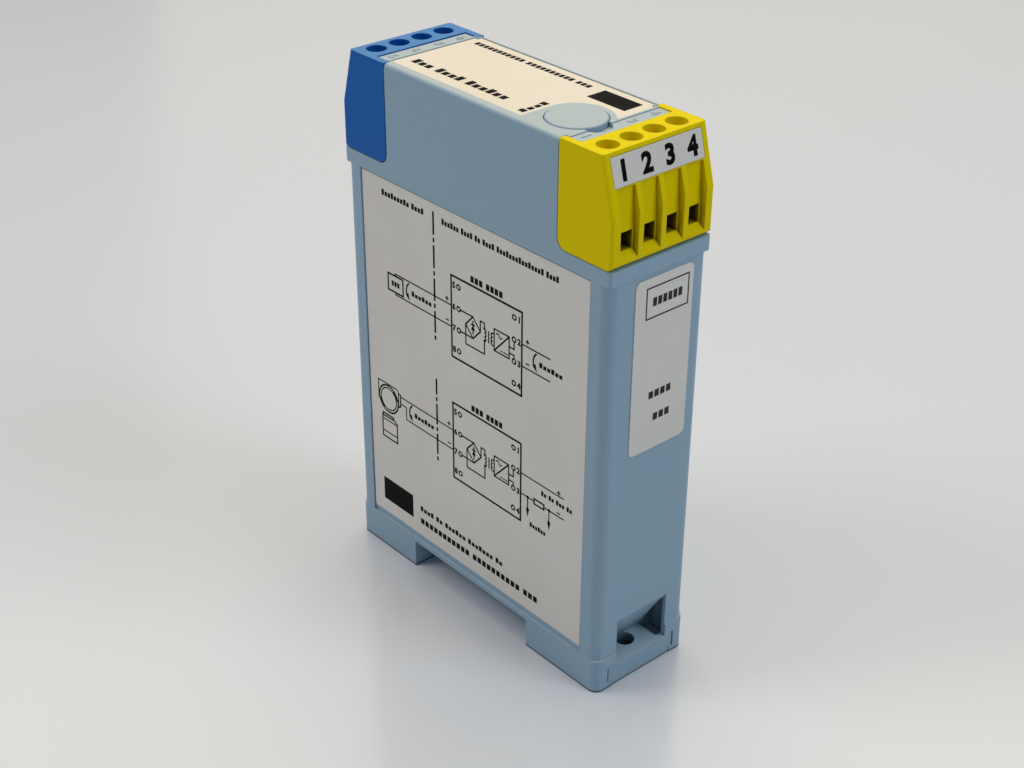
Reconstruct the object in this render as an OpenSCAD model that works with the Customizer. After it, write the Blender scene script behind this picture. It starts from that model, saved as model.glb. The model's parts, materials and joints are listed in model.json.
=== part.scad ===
// Signal isolator for a 35 mm top-hat rail.
// A tall slim case stands on its rail foot, with the rail running along Y.
// The blue terminal block is at the -X end, the yellow one at the +X end.
// Millimetres, +Z up, origin at the middle of the base.

/* [Case] */
// Length of the lower case above its foot, along X
body_len = 76; // [72:0.5:84]
// Width of the whole module, along Y
case_w = 25; // [24:0.1:30]
// Height of the lower case, up to the joint with the top cover
tub_h = 90; // [80:0.5:110]
// Height from the joint to the top face of the cover
cover_h = 23.8; // [22:0.1:28]
// Wall thickness of the mouldings
wall = 1.8; // [1.4:0.1:2]
// Radius of the lower case's upright corners
body_corner_r = 2.4; // [1.5:0.1:3]
// Radius of the top cover's upright corners
cover_corner_r = 0.6; // [0.3:0.1:1.5]
// Radius along the long top edges of the cover
top_edge_r = 1; // [0.5:0.1:1.6]
// How far the foot stands out past the case at each end
foot_ledge = 0.3; // [0.1:0.05:0.6]
// Height of the foot band
foot_h = 7.7; // [7:0.1:9]
// Radius of the foot's upright corners
foot_corner_r = 2; // [1:0.1:3]
// How far the top cover stands out past the case at each end
cover_ledge = 0.2; // [0.1:0.05:0.5]
// How far the figure strips lie below the top face
strip_drop = 0.2; // [0.1:0.05:0.3]
// Distance of the figure strips from the blocks' seams
strip_in = 0.8; // [0.6:0.1:1.2]
// Depth of the skirt that locates the cover inside the case
skirt_h = 5; // [3:0.5:8]
// Thickness of the skirt
skirt_t = 1.2; // [0.8:0.1:1.6]

/* [Rail foot] */
// Width of the rail over its flanges
rail_w = 35; // [34:0.5:36]
// Thickness of the rail's flange
rail_flange_t = 1; // [0.8:0.1:1.5]
// Space left beside each flange
rail_room = 0.7; // [0.4:0.1:1]
// Place of the rail's middle along X
rail_x = -0.7; // [-1.5:0.1:1]
// Height of the slot that takes the rail
slot_h = 6.5; // [6:0.1:7]
// How far the fixed hook and the latch reach under a flange
grip_reach = 2.2; // [1.5:0.1:2.6]
// Width of the fixed hook
hook_w = 16; // [10:0.5:18]

/* [Latch] */
// Width of the latch over its guided flanges
latch_w = 17.8; // [17.2:0.1:18.6]
// Width of the latch between the lips under it
latch_low_w = 16.2; // [15:0.1:16.6]
// Gap at each side of the latch
latch_side_gap = 0.35; // [0.2:0.05:0.5]
// Height of the lips that carry the latch
lip_h = 1.3; // [1:0.1:1.6]
// Thickness of the latch
latch_t = 4.9; // [4.6:0.1:5.1]
// Travel of the latch when it is pulled out
latch_travel = 4; // [3:0.1:4.5]
// Diameter of the release hole in the latch
release_d = 4.1; // [3.5:0.1:4.5]
// Distance from the latch's outer end to the release hole
release_in = 4.7; // [4:0.1:5.2]
// Width of the pocket's mouth above the latch
pocket_w = 13.6; // [12:0.1:15]
// Height of the pocket above the latch
pocket_h = 10.9; // [8:0.1:12]
// Depth of the pocket along its floor
pocket_d = 6.4; // [5.5:0.1:7]
// Width of the pocket's sloping back
web_w = 11.2; // [10:0.1:12]
// Thickness of the case beside the pocket's mouth
jamb_t = 0.9; // [0.8:0.1:1.2]
// Outer diameter of the return spring
spring_d = 3; // [2.4:0.1:3.2]
// Diameter of the spring's wire
spring_wire = 0.4; // [0.3:0.05:0.5]
// Coils in the spring
spring_coils = 6; // [4:1:8]

/* [Terminal blocks] */
// Length of a terminal block, from the outer end to its seam
block_len = 13.6; // [13:0.1:15]
// Length of the side cheeks that clasp the cover
cheek_len = 3.9; // [3:0.1:4.2]
// Thickness of the side cheeks
cheek_t = 1.5; // [1.2:0.1:1.8]
// Height of the shelf under the blocks, above the joint
shelf_h = 3; // [2.6:0.1:4]
// Height of the block's upright outer face
knee_h = 9.4; // [8.5:0.1:10.5]
// How far the upper outer face leans in at the top
lean_in = 3; // [2:0.1:3.4]
// Radius of the lower inner corner, seen from the side
inner_corner_r = 2.2; // [1:0.1:3]
// Radius of the lower outer corner, seen from the side
outer_corner_r = 1.3; // [0.5:0.1:2]
// Radius of the upright corners
block_corner_r = 0.6; // [0.4:0.1:1.4]
// Width of the gap round a block
seam = 0.2; // [0.15:0.05:0.3]

/* [Terminals] */
// Distance from a block's side to its first terminal's cell
block_rim = 1.4; // [1.2:0.1:1.8]
// Thickness of the wall between two terminals
way_wall = 0.95; // [0.8:0.05:1.1]
// Diameter of a screw well
well_d = 4.1; // [3.8:0.1:4.3]
// Distance from the block's outer end to the screws
screw_in = 6.1; // [5.8:0.1:6.3]
// Diameter of a screw head
head_d = 3.7; // [3.4:0.1:3.7]
// Height of a screw head
head_h = 1.8; // [1.4:0.1:2]
// Diameter of a screw's thread
thread_d = 2.5; // [2:0.1:2.6]
// Depth of the screw heads' seat below the top face
seat_depth = 5.4; // [5:0.1:5.8]
// Lift of a clamp cage when its screw is tightened
cage_lift = 2.7; // [2:0.1:2.8]
// Length of a clamp cage
cage_len = 4.4; // [4:0.1:4.6]
// Wall of a clamp cage
cage_wall = 0.6; // [0.5:0.05:0.7]
// Thickness of the cage's threaded top
cage_top_t = 1.8; // [1.4:0.1:2]
// Thickness of a contact bar
bar_t = 0.8; // [0.6:0.1:1]

/* [Wire entries] */
// Width of the crest between two funnels
crest_w = 1.25; // [1.1:0.05:1.8]
// Depth of a funnel at its upper end
funnel_top_d = 0.5; // [0.4:0.05:0.8]
// Depth of a funnel at the wire hole
funnel_low_d = 1.3; // [1:0.1:1.6]
// Width of a wire hole
wire_w = 3.6; // [3:0.1:3.8]
// Height of a wire hole
wire_h = 3.5; // [3:0.1:3.6]
// Height of a wire hole's sill above the block's base
sill_h = 2.6; // [2.3:0.1:2.9]
// Drop of the sill towards its outer edge
sill_drop = 1.3; // [0.8:0.1:1.5]

/* [Fuse] */
// Diameter of the fuse cap
cap_d = 11.5; // [10:0.1:11.8]
// Height of the cap above the cover
cap_rise = 0.2; // [0.1:0.05:0.5]
// Thickness of the cap's disc
cap_t = 1.3; // [1.2:0.1:1.6]
// Bevel round the cap's top edge
cap_edge = 0.2; // [0.1:0.05:0.3]
// Diameter of the plug under the cap
plug_d = 8.6; // [8:0.1:9]
// Depth of the plug under the cap's disc
plug_h = 2.2; // [1.5:0.1:2.6]
// Distance of the cap's axis from the yellow block's seam
cap_in = 5; // [4.8:0.1:8]
// Distance of the cap's axis from the near side
cap_side = 8.7; // [8.4:0.1:10]
// Reach of the finger notch past the cap's edge
notch_reach = 2.1; // [1.5:0.1:2.3]
// Radius of the finger notch
notch_r = 3; // [2.5:0.1:3.5]
// Depth of the finger notch
notch_depth = 0.9; // [0.6:0.1:1]
// Diameter of the fuse
fuse_d = 8.4; // [7:0.1:8.5]
// Height of the fuse
fuse_h = 7.6; // [6:0.1:8]

/* [Labels] */
// Thickness of the labels
label_t = 0.2; // [0.1:0.05:0.25]
// Depth of the recess for the side label
side_recess = 0.4; // [0.3:0.05:0.6]
// Width of the strips beside the side label's recess
side_strip = 4.6; // [4:0.1:6]
// Gap between a label and the edge of its recess
label_gap = 0.3; // [0.1:0.05:0.5]
// Gap between the side label and the lower edge of its recess
label_low_gap = 1.5; // [0.3:0.1:3]
// Width of the end label
end_label_w = 14.6; // [10:0.1:16]
// Height of the end label
end_label_h = 36; // [20:0.5:50]
// Distance of the end label below the joint
end_label_down = 1; // [0.5:0.1:10]
// Place of the end label's middle along Y
end_label_y = 1.2; // [-2:0.1:2]
// Corner radius of the end label
end_label_r = 1.2; // [0.5:0.1:3]
// Depth of the recess for the top label
top_recess = 0.35; // [0.25:0.05:0.5]
// Width of the rim at the near side of the top label
top_near_rim = 1.9; // [1.5:0.1:3]
// Width of the rim at the far side of the top label
top_far_rim = 1.1; // [1:0.1:2]
// Margin of the plain area round the fuse cap
cap_margin = 1.3; // [1:0.1:2]
// Width of the tag on the yellow block
tag_w = 21.9; // [18:0.1:22.2]
// Height of the tag
tag_h = 5.4; // [4:0.1:5.6]
// Thickness of the tag
tag_t = 0.5; // [0.4:0.05:0.6]
// Distance of the tag below the block's top edge
tag_down = 0.8; // [0.5:0.1:1]

/* [Electronics] */
// Thickness of the circuit boards
board_t = 1.6; // [1.2:0.1:2]
// Distance of the main board's component face from the far wall
board_in = 6.7; // [5.5:0.1:7.5]
// Length of the transformer core
core_len = 22; // [18:0.5:26]
// Height of the transformer core
core_h = 18; // [14:0.5:22]
// Thickness of the core's outer legs
core_leg = 3; // [2:0.1:4]
// Thickness of the core stack
core_t = 6; // [4:0.1:7]
// Diameter of a capacitor
can_d = 8; // [6:0.5:10]
// Height of a capacitor
can_h = 11; // [8:0.5:12]
// Size of a chip along the board
chip_len = 7; // [5:0.5:8]
// Size of a chip up the board
chip_h = 10; // [8:0.5:12]
// Thickness of a chip
chip_t = 3.2; // [2:0.1:4]
// Space between two parts in a column
part_gap = 3; // [2:0.5:5]

/* [Hidden] */
$fn = 48;

// Overlap that keeps a cut from leaving a skin
over = 1;
// Clearance of parts that slide or plug together
slide_gap = 0.15;
// Radial clearance of a turning screw in its cage
thread_gap = 0.06;
// Terminals in each block
ways = 4;
// Capacitors or chips in a column
rows = 3;

half_w = case_w / 2;
half_body = body_len / 2;
half_foot = half_body + foot_ledge;
half_cover = half_body + cover_ledge;
top_z = tub_h + cover_h;
inner_w = case_w - 2 * wall;

// Rail slot
slot_left = rail_x - rail_w / 2 - rail_room;
slot_right = rail_x + rail_w / 2 + rail_room;
grip_top = slot_h - rail_flange_t - slide_gap;
grip_low = 1.3;
grip_chamfer = 1;
cavity_floor = slot_h + wall;

// Latch
latch_end = half_cover;
latch_roof = latch_t + slide_gap;
sole_gap = 0.1;
shoulder_drop = 1.8;
latch_front_t = 1.2;
release_x = latch_end - release_in;
spring_gap = 0.2;
window_room = 1;
window_low = lip_h + 2 * slide_gap;
spring_z = window_low + spring_d / 2 + spring_gap;
window_w = spring_d + 2 * window_room;
bridge_t = 1.6;
window_end = release_x - release_d / 2 - bridge_t;
peg_t = 1.6;
peg_low = window_low + 2 * spring_gap;
peg_x = window_end - peg_t - slide_gap;
window_start = peg_x - 2 * latch_travel;
web_t = 2;
pocket_back = half_foot - pocket_d;
pocket_lean = pocket_d / pocket_h;

// Terminal blocks, worked out for the yellow one at +X
block_base = tub_h + shelf_h + seam;
block_end = half_cover;
block_seam = block_end - block_len;
core_x = block_seam + cheek_len;
knee_z = block_base + knee_h;
lean = atan2(lean_in, top_z - knee_z);
screw_x = block_end - screw_in;
neck_half_w = half_w - cheek_t - seam;
neck_end = core_x - seam;
tongue_w = 12;
tongue_t = 2;
tongue_h = 1.2;
tongue_in = 5;
tongue_x = block_end - tongue_in;

// Terminals, from the bottom of the clamp to the screw
pitch = (case_w - 2 * block_rim) / ways;
funnel_w = pitch - crest_w;
chamber_w = pitch - way_wall;
cage_w = chamber_w - 2 * slide_gap;
sill_z = block_base + sill_h;
cage_floor_z = sill_z + slide_gap;
bar_z = sill_z + wire_h;
cage_gap = 0.3;
cage_top_z = bar_z + bar_t + cage_gap;
chamber_base = cage_floor_z - cage_wall - slide_gap;
chamber_roof = cage_top_z + cage_top_t + cage_lift + cage_gap;
chamber_len = cage_len + 2 * cage_gap;
bar_gap = 0.2;
bar_w = cage_w - 2 * cage_wall - 2 * bar_gap;
seat_z = top_z - seat_depth;
shank_gap = 0.25;
bar_tail = 1.4;
bar_in = neck_end - wall - bar_tail;
bar_out = screw_x + cage_len / 2 + bar_gap;
funnel_top_z = top_z - tag_down - (tag_h + slide_gap) * cos(lean) - slide_gap;

// Fuse, cap and boards
cap_x = block_seam - cap_in;
cap_y = -half_w + cap_side;
cap_seat_z = top_z + cap_rise - cap_t;
cap_r = cap_d / 2;
collar_t = 1.2;
collar_drop = 0.4;
top_end_rim = 0.3;
socket_t = 2;
board_top_z = bar_z;
fuse_z = board_top_z + socket_t;
board_y = inner_w / 2 - board_in;
board_half = neck_end - wall - 2 * slide_gap;
board_w = 2 * (neck_half_w - wall - 2 * slide_gap);
board_room = 1;
guide_t = 1.2;
guide_d = 2;
guide_low = cavity_floor + pocket_h;
guide_high = tub_h - skirt_h - board_room;
board_gap = 0.1;
core_z = (guide_low + guide_high) / 2;
core_mid = core_len / 4;
winding_room = 0.7;
winding_d = board_y + inner_w / 2 - winding_room;
core_y = board_y - winding_d / 2;
part_x = (core_len / 2 + half_body - wall - guide_d) / 2;
window_len = (core_len - core_mid - 2 * core_leg) / 2;
window_h = core_h - 2 * core_leg;
winding_gap = 0.1;

case_colour = [0.66, 0.71, 0.74];
yellow = [0.93, 0.83, 0.08];
blue = [0.12, 0.33, 0.62];
white = [0.93, 0.93, 0.91];
steel = [0.75, 0.75, 0.76];
brass = [0.80, 0.66, 0.32];
board_green = [0.13, 0.38, 0.22];

// Side of the block's outer face at a given height
function face_x(z) = z < knee_z ? block_end : block_end - (z - knee_z) * tan(lean);
// Place of a terminal along Y
function way_y(i) = (i - (ways - 1) / 2) * pitch;
// Place of a part in its column, counted from the middle
function row_place(i) = i - (rows - 1) / 2;
// Front of the pocket's sloping back at a given height
function pocket_x(z) = pocket_back + (z - latch_roof) * pocket_lean;

// Box between two corners
module span(low, high) {
    translate(low) cube(high - low);
}

// Rectangle with round corners, centred
module round_rect(len, width, r) {
    square([len - 2 * r, width], center = true);
    square([len, width - 2 * r], center = true);
    for (sx = [-1, 1], sy = [-1, 1]) {
        translate([sx * (len / 2 - r), sy * (width / 2 - r)]) circle(r);
    }
}

// Extrudes an outline drawn in X and Z along Y, centred
module across(width) {
    rotate([90, 0, 0]) linear_extrude(width, center = true) children();
}

// Extrudes an outline drawn in Y and Z along X, centred
module along(len) {
    rotate([90, 0, 90]) linear_extrude(len, center = true) children();
}

// Puts its children in the frame of the block's leaning face: +X out of it, +Z up it
module on_lean() {
    translate([block_end, 0, knee_z]) rotate([0, -lean, 0]) children();
}

// Lower case

module tub_outside() {
    linear_extrude(tub_h) round_rect(body_len, case_w, body_corner_r);
    linear_extrude(foot_h) round_rect(2 * half_foot, case_w, foot_corner_r);
}

// Hollow of the lower case, stepped over the rail slot and the latch's pocket
module tub_cavity() {
    web_x = pocket_x(cavity_floor) - web_t;
    wall_x = half_body - wall;
    across(inner_w) polygon([
        [-wall_x, wall],
        [slot_left - wall, wall],
        [slot_left - wall, cavity_floor],
        [web_x, cavity_floor],
        [wall_x, cavity_floor + (wall_x - web_x) / pocket_lean],
        [wall_x, tub_h + over],
        [-wall_x, tub_h + over]
    ]);
}

// Channel with lips that guides the latch
module latch_channel() {
    low_w = latch_low_w / 2 + slide_gap;
    high_w = latch_w / 2 + latch_side_gap;
    span([slot_right - over, -low_w, -over], [half_foot + over, low_w, lip_h + over]);
    span([slot_right - over, -high_w, lip_h], [half_foot + over, high_w, latch_roof]);
}

// Wedge above the latch that lets a screwdriver reach the release hole, open to the case at both sides
module release_pocket() {
    mouth_top = latch_roof + pocket_h;
    across(pocket_w) polygon([
        [pocket_back, latch_roof - over],
        [half_foot + over, latch_roof - over],
        [half_foot + over, mouth_top],
        [half_foot, mouth_top],
        [pocket_back, latch_roof]
    ]);
    for (side = [0, 1]) mirror([0, side, 0]) {
        span([pocket_back, web_w / 2, latch_roof - over],
             [half_body - jamb_t, latch_w / 2 + latch_side_gap, mouth_top]);
    }
}

// Grooves for the main board's two upright edges, with a stop under them
module board_guides() {
    low_y = board_y - board_gap - guide_t;
    high_y = board_y + board_t + board_gap;
    root_x = half_body - wall + over / 2;
    tip_x = half_body - wall - guide_d;
    for (side = [0, 1]) mirror([side, 0, 0]) {
        span([tip_x, low_y, guide_low], [root_x, low_y + guide_t, guide_high]);
        span([tip_x, high_y, guide_low], [root_x, high_y + guide_t, guide_high]);
        span([tip_x, low_y, guide_low - guide_t], [root_x, high_y + guide_t, guide_low]);
    }
}

// Fixed hook that goes under the rail's flange at the blue end
module fixed_hook() {
    tip = slot_left + grip_reach;
    across(hook_w) polygon([
        [slot_left - over, grip_low],
        [tip - grip_chamfer, grip_low],
        [tip, grip_low + grip_chamfer],
        [tip, grip_top],
        [slot_left - over, grip_top]
    ]);
}

// Peg that the latch's spring pushes against
module spring_peg() {
    peg_w = window_w - 4 * slide_gap;
    span([peg_x, -peg_w / 2, peg_low], [peg_x + peg_t, peg_w / 2, latch_roof + over / 2]);
}

module side_label_recess() {
    half_len = half_body - side_strip;
    span([-half_len, -half_w - over, foot_h], [half_len, -half_w + side_recess, tub_h + over]);
}

module case_tub() color(case_colour) {
    difference() {
        tub_outside();
        tub_cavity();
        span([slot_left, -half_w - over, -over], [slot_right, half_w + over, slot_h]);
        latch_channel();
        release_pocket();
        side_label_recess();
    }
    board_guides();
    fixed_hook();
    spring_peg();
}

// Top cover

// Tower between the blocks, with rounded long edges
module cover_tower() {
    translate([0, 0, tub_h]) along(2 * block_seam - 2 * seam) {
        translate([-half_w, 0]) square([case_w, cover_h - top_edge_r]);
        translate([-half_w + top_edge_r, 0]) square([case_w - 2 * top_edge_r, cover_h]);
        for (side = [-1, 1]) {
            translate([side * (half_w - top_edge_r), cover_h - top_edge_r]) circle(top_edge_r);
        }
    }
}

// Round inner corners under the blocks' cheeks
module seat_fillets() {
    r = inner_corner_r + seam;
    for (side = [0, 1]) mirror([side, 0, 0]) across(case_w) difference() {
        translate([block_seam - seam - over / 2, block_base - seam - over / 2]) square(r + over / 2);
        translate([block_seam + inner_corner_r, block_base + inner_corner_r]) circle(r);
    }
}

// Sunk strips beside the blocks, for the terminals' figures
module figure_strips() {
    for (side = [0, 1]) mirror([side, 0, 0]) {
        span([block_seam + strip_in, -half_w, top_z - strip_drop], [neck_end + over, half_w, top_z + over]);
    }
}

module cover_outside() {
    skirt_len = body_len - 2 * wall - 2 * slide_gap;
    skirt_w = inner_w - 2 * slide_gap;
    translate([0, 0, tub_h]) linear_extrude(shelf_h) round_rect(2 * half_cover, case_w, cover_corner_r);
    cover_tower();
    seat_fillets();
    span([-neck_end, -neck_half_w, tub_h], [neck_end, neck_half_w, top_z]);
    span([-skirt_len / 2, -skirt_w / 2, tub_h - skirt_h], [skirt_len / 2, skirt_w / 2, tub_h + over]);
}

module cover_cavity() {
    hall_x = block_seam - seam - wall;
    hall_y = half_w - wall;
    neck_x = neck_end - wall;
    neck_y = neck_half_w - wall;
    skirt_x = half_body - wall - slide_gap - skirt_t;
    skirt_y = inner_w / 2 - slide_gap - skirt_t;
    base_z = tub_h - skirt_h - over;
    span([-hall_x, -skirt_y, base_z], [hall_x, skirt_y, top_z - wall]);
    span([-hall_x, -hall_y, tub_h + wall], [hall_x, hall_y, top_z - wall]);
    span([-neck_x, -neck_y, base_z], [neck_x, neck_y, top_z - wall]);
    span([-skirt_x, -skirt_y, base_z], [skirt_x, skirt_y, tub_h + shelf_h - wall]);
}

// Plain raised area round the fuse cap, drawn in the top face
module cap_area() {
    r = cap_r + cap_margin;
    translate([cap_x, cap_y]) circle(r);
    translate([cap_x - r, -half_w]) square([block_seam + strip_in - cap_x + r, half_w + cap_y]);
}

// Outline of the top label's recess, less a margin: it runs on a little between the cheeks
module top_label_outline(gap) {
    half_len = block_seam - seam - top_end_rim - gap;
    near_y = -half_w + top_near_rim + gap;
    far_y = half_w - top_far_rim - gap;
    end_x = block_seam + top_end_rim - gap;
    end_y = neck_half_w - top_end_rim - gap;
    translate([-half_len, near_y]) square([2 * half_len, far_y - near_y]);
    translate([-end_x, -end_y]) square([2 * end_x, 2 * end_y]);
}

module top_label_recess() {
    translate([0, 0, top_z - top_recess]) linear_extrude(top_recess + over) difference() {
        top_label_outline(0);
        cap_area();
    }
}

// Collar under the cover that the fuse cap plugs into
module cap_collar() {
    r = plug_d / 2 + slide_gap + collar_t;
    depth = plug_h + collar_drop;
    translate([cap_x, cap_y, cap_seat_z - depth]) cylinder(r = r, h = depth);
}

module cap_hole() {
    plug_r = plug_d / 2 + slide_gap;
    translate([cap_x, cap_y, cap_seat_z]) cylinder(r = cap_r + slide_gap, h = cap_t + over);
    translate([cap_x, cap_y, cap_seat_z - plug_h - over]) cylinder(r = plug_r, h = plug_h + 2 * over);
    translate([cap_x + cap_r + notch_reach - notch_r, cap_y, top_z - notch_depth]) {
        cylinder(r = notch_r, h = notch_depth + over);
    }
}

// Slots for the contact bars, and for the tongue under each block
module block_seats() {
    slot_w = bar_w + 2 * slide_gap;
    for (side = [0, 1]) mirror([side, 0, 0]) {
        for (i = [0 : ways - 1]) translate([0, way_y(i), 0]) {
            span([bar_in - slide_gap, -slot_w / 2, bar_z - slide_gap],
                 [neck_end + over, slot_w / 2, bar_z + bar_t + slide_gap]);
        }
        span([tongue_x - tongue_t / 2 - slide_gap, -tongue_w / 2 - slide_gap, tub_h + shelf_h - wall - over],
             [tongue_x + tongue_t / 2 + slide_gap, tongue_w / 2 + slide_gap, tub_h + shelf_h + over]);
    }
}

// Ledges on the neck walls that carry the connection board
module board_ledges() {
    tip_x = board_half - board_room;
    low_z = board_top_z - board_t - guide_t;
    for (side = [0, 1]) mirror([side, 0, 0]) {
        span([tip_x, -neck_half_w + wall / 2, low_z],
             [neck_end - wall / 2, neck_half_w - wall / 2, board_top_z - board_t]);
    }
}

module top_cover() color(case_colour) {
    difference() {
        union() {
            difference() {
                cover_outside();
                cover_cavity();
            }
            cap_collar();
            board_ledges();
        }
        cap_hole();
        top_label_recess();
        figure_strips();
        block_seats();
    }
}

// Terminal blocks

// Side view of a block: upright face, leaning face and round lower corners
module block_profile() {
    difference() {
        polygon([
            [block_seam, block_base],
            [block_end, block_base],
            [block_end, knee_z],
            [block_end - lean_in, top_z],
            [block_seam, top_z]
        ]);
        translate([block_seam - over, block_base - over]) square(inner_corner_r + over);
        translate([block_end - outer_corner_r, block_base - over]) square(outer_corner_r + over);
    }
    translate([block_seam + inner_corner_r, block_base + inner_corner_r]) circle(inner_corner_r);
    translate([block_end - outer_corner_r, block_base + outer_corner_r]) circle(outer_corner_r);
}

module block_outside() {
    intersection() {
        across(case_w) block_profile();
        linear_extrude(top_z + over) round_rect(2 * block_end, case_w, block_corner_r);
        on_lean() translate([-block_end, 0, -top_z]) {
            linear_extrude(2 * top_z) round_rect(2 * block_end, case_w, block_corner_r);
        }
    }
    tongue_low = block_base - seam - tongue_h;
    span([tongue_x - tongue_t / 2, -tongue_w / 2, tongue_low],
         [tongue_x + tongue_t / 2, tongue_w / 2, block_base + over]);
}

// Funnel in the outer face that leads a wire down to its hole
module wire_funnel() {
    floor_x = block_end - funnel_low_d;
    slope = sill_drop / funnel_low_d;
    across(funnel_w) polygon([
        [block_end + over, funnel_top_z],
        [face_x(funnel_top_z) - funnel_top_d, funnel_top_z],
        [floor_x, sill_z + wire_h],
        [floor_x, sill_z],
        [block_end + over, sill_z - sill_drop - slope * over]
    ]);
}

// Room inside a block for one terminal
module terminal_room() {
    slot_w = bar_w + 2 * slide_gap;
    half_len = chamber_len / 2;
    span([screw_x - half_len, -chamber_w / 2, chamber_base],
         [screw_x + half_len, chamber_w / 2, chamber_roof]);
    span([core_x - over, -slot_w / 2, bar_z - slide_gap],
         [screw_x, slot_w / 2, bar_z + bar_t + slide_gap]);
    span([screw_x, -wire_w / 2, sill_z], [block_end - funnel_low_d + over, wire_w / 2, sill_z + wire_h]);
    translate([screw_x, 0, seat_z]) cylinder(d = well_d, h = seat_depth + over);
    translate([screw_x, 0, chamber_roof - over]) {
        cylinder(r = thread_d / 2 + shank_gap, h = seat_z - chamber_roof + 2 * over);
    }
    wire_funnel();
}

// Recess for the tag, or the tag itself, in the leaning face
module tag_shape(gap, depth, rise) {
    lean_len = (top_z - knee_z) / cos(lean);
    high = lean_len - tag_down / cos(lean);
    on_lean() span([-depth, -tag_w / 2 - gap, high - tag_h - gap], [rise, tag_w / 2 + gap, high + gap]);
}

module terminal_block() {
    difference() {
        block_outside();
        span([block_seam - over, -half_w + cheek_t, block_base - over],
             [core_x, half_w - cheek_t, top_z + over]);
        for (i = [0 : ways - 1]) translate([0, way_y(i), 0]) terminal_room();
        tag_shape(slide_gap / 2, tag_t, over);
    }
}

module yellow_terminal_block() color(yellow) terminal_block();

module blue_terminal_block() color(blue) mirror([1, 0, 0]) terminal_block();

// Slotted screw that stays in place as it turns and draws its cage up
module terminal_screw(i) color(steel) {
    slot_w = 0.6;
    slot_depth = 0.8;
    tip_z = bar_z + bar_t + slide_gap;
    translate([screw_x, way_y(i), 0]) difference() {
        union() {
            translate([0, 0, seat_z]) cylinder(d = head_d, h = head_h);
            translate([0, 0, tip_z]) cylinder(d = thread_d, h = seat_z - tip_z + head_h / 2);
        }
        span([-head_d, -slot_w / 2, seat_z + head_h - slot_depth],
             [head_d, slot_w / 2, seat_z + head_h + over]);
    }
}

// Box clamp that rises round the contact bar
module clamp_cage(i) color(brass) {
    low_z = cage_floor_z - cage_wall;
    high_z = cage_top_z + cage_top_t;
    inner = cage_w - 2 * cage_wall;
    translate([screw_x, way_y(i), 0]) difference() {
        span([-cage_len / 2, -cage_w / 2, low_z], [cage_len / 2, cage_w / 2, high_z]);
        span([-cage_len, -inner / 2, cage_floor_z], [cage_len, inner / 2, cage_top_z]);
        translate([0, 0, cage_top_z - over]) {
            cylinder(r = thread_d / 2 + thread_gap, h = cage_top_t + 2 * over);
        }
    }
}

// Bars that carry the current from the clamps to the connection board
module contact_bars() {
    for (i = [0 : ways - 1]) translate([0, way_y(i), 0]) {
        span([bar_in, -bar_w / 2, bar_z], [bar_out, bar_w / 2, bar_z + bar_t]);
    }
}

module yellow_contacts() color(brass) contact_bars();

module blue_contacts() color(brass) mirror([1, 0, 0]) contact_bars();

// Rail latch and its spring

module rail_latch() color(case_colour) {
    flange_z = lip_h + slide_gap / 2;
    nose = slot_right - grip_reach;
    difference() {
        union() {
            span([slot_right + slide_gap, -latch_low_w / 2, sole_gap], [latch_end, latch_low_w / 2, latch_t]);
            span([slot_right + slide_gap, -latch_w / 2, flange_z], [latch_end, latch_w / 2, latch_t]);
            across(hook_w) polygon([
                [slot_right + over, grip_low],
                [slot_right, grip_low],
                [nose, grip_low + grip_reach],
                [nose, latch_t],
                [slot_right + over, latch_t]
            ]);
        }
        span([window_start, -window_w / 2, window_low], [window_end, window_w / 2, latch_t + over]);
        for (side = [0, 1]) mirror([0, side, 0]) {
            span([pocket_back, web_w / 2, latch_t - shoulder_drop],
                 [latch_end - latch_front_t, latch_w, latch_t + over]);
        }
        translate([release_x, 0, -over]) cylinder(d = release_d, h = latch_t + 2 * over);
    }
}

// Coil swept along X between the latch and the peg
module latch_spring() color(steel) {
    sides = 8;
    steps = 16;
    rings = spring_coils * steps;
    coil_r = (spring_d - spring_wire) / 2;
    wire_r = spring_wire / 2;
    start_x = window_start + wire_r + spring_gap / 2;
    travel = peg_x - window_start - spring_wire - spring_gap;
    points = [
        for (ring = [0 : rings], side = [0 : sides - 1])
            let (turn = 360 * ring / steps, angle = 360 * side / sides, r = coil_r + wire_r * cos(angle))
            [start_x + travel * ring / rings + wire_r * sin(angle), r * cos(turn), spring_z + r * sin(turn)]
    ];
    walls = [
        for (ring = [0 : rings - 1], side = [0 : sides - 1])
            let (a = ring * sides, b = a + sides, next = (side + 1) % sides)
            [a + side, b + side, b + next, a + next]
    ];
    first = [for (side = [0 : sides - 1]) side];
    last = [for (side = [sides - 1 : -1 : 0]) rings * sides + side];
    polyhedron(points, concat(walls, [first, last]));
}

// Fuse and its cap

module fuse_cap() color(case_colour) translate([cap_x, cap_y, cap_seat_z]) {
    cylinder(d = cap_d, h = cap_t - cap_edge);
    translate([0, 0, cap_t - cap_edge]) cylinder(d1 = cap_d, d2 = cap_d - 2 * cap_edge, h = cap_edge);
    difference() {
        translate([0, 0, -plug_h]) cylinder(d = plug_d, h = plug_h + cap_t / 2);
        translate([0, 0, -plug_h - over]) cylinder(d = plug_d - 2 * collar_t, h = plug_h + over);
    }
}

module fuse() color([0.35, 0.2, 0.12]) {
    translate([cap_x, cap_y, fuse_z]) cylinder(d = fuse_d, h = fuse_h);
}

module fuse_socket() color([0.1, 0.1, 0.1]) {
    translate([cap_x, cap_y, board_top_z]) cylinder(d = fuse_d, h = socket_t);
}

// Circuit boards and what they carry

module connection_board() color(board_green) {
    span([-board_half, -board_w / 2, board_top_z - board_t], [board_half, board_w / 2, board_top_z]);
}

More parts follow.
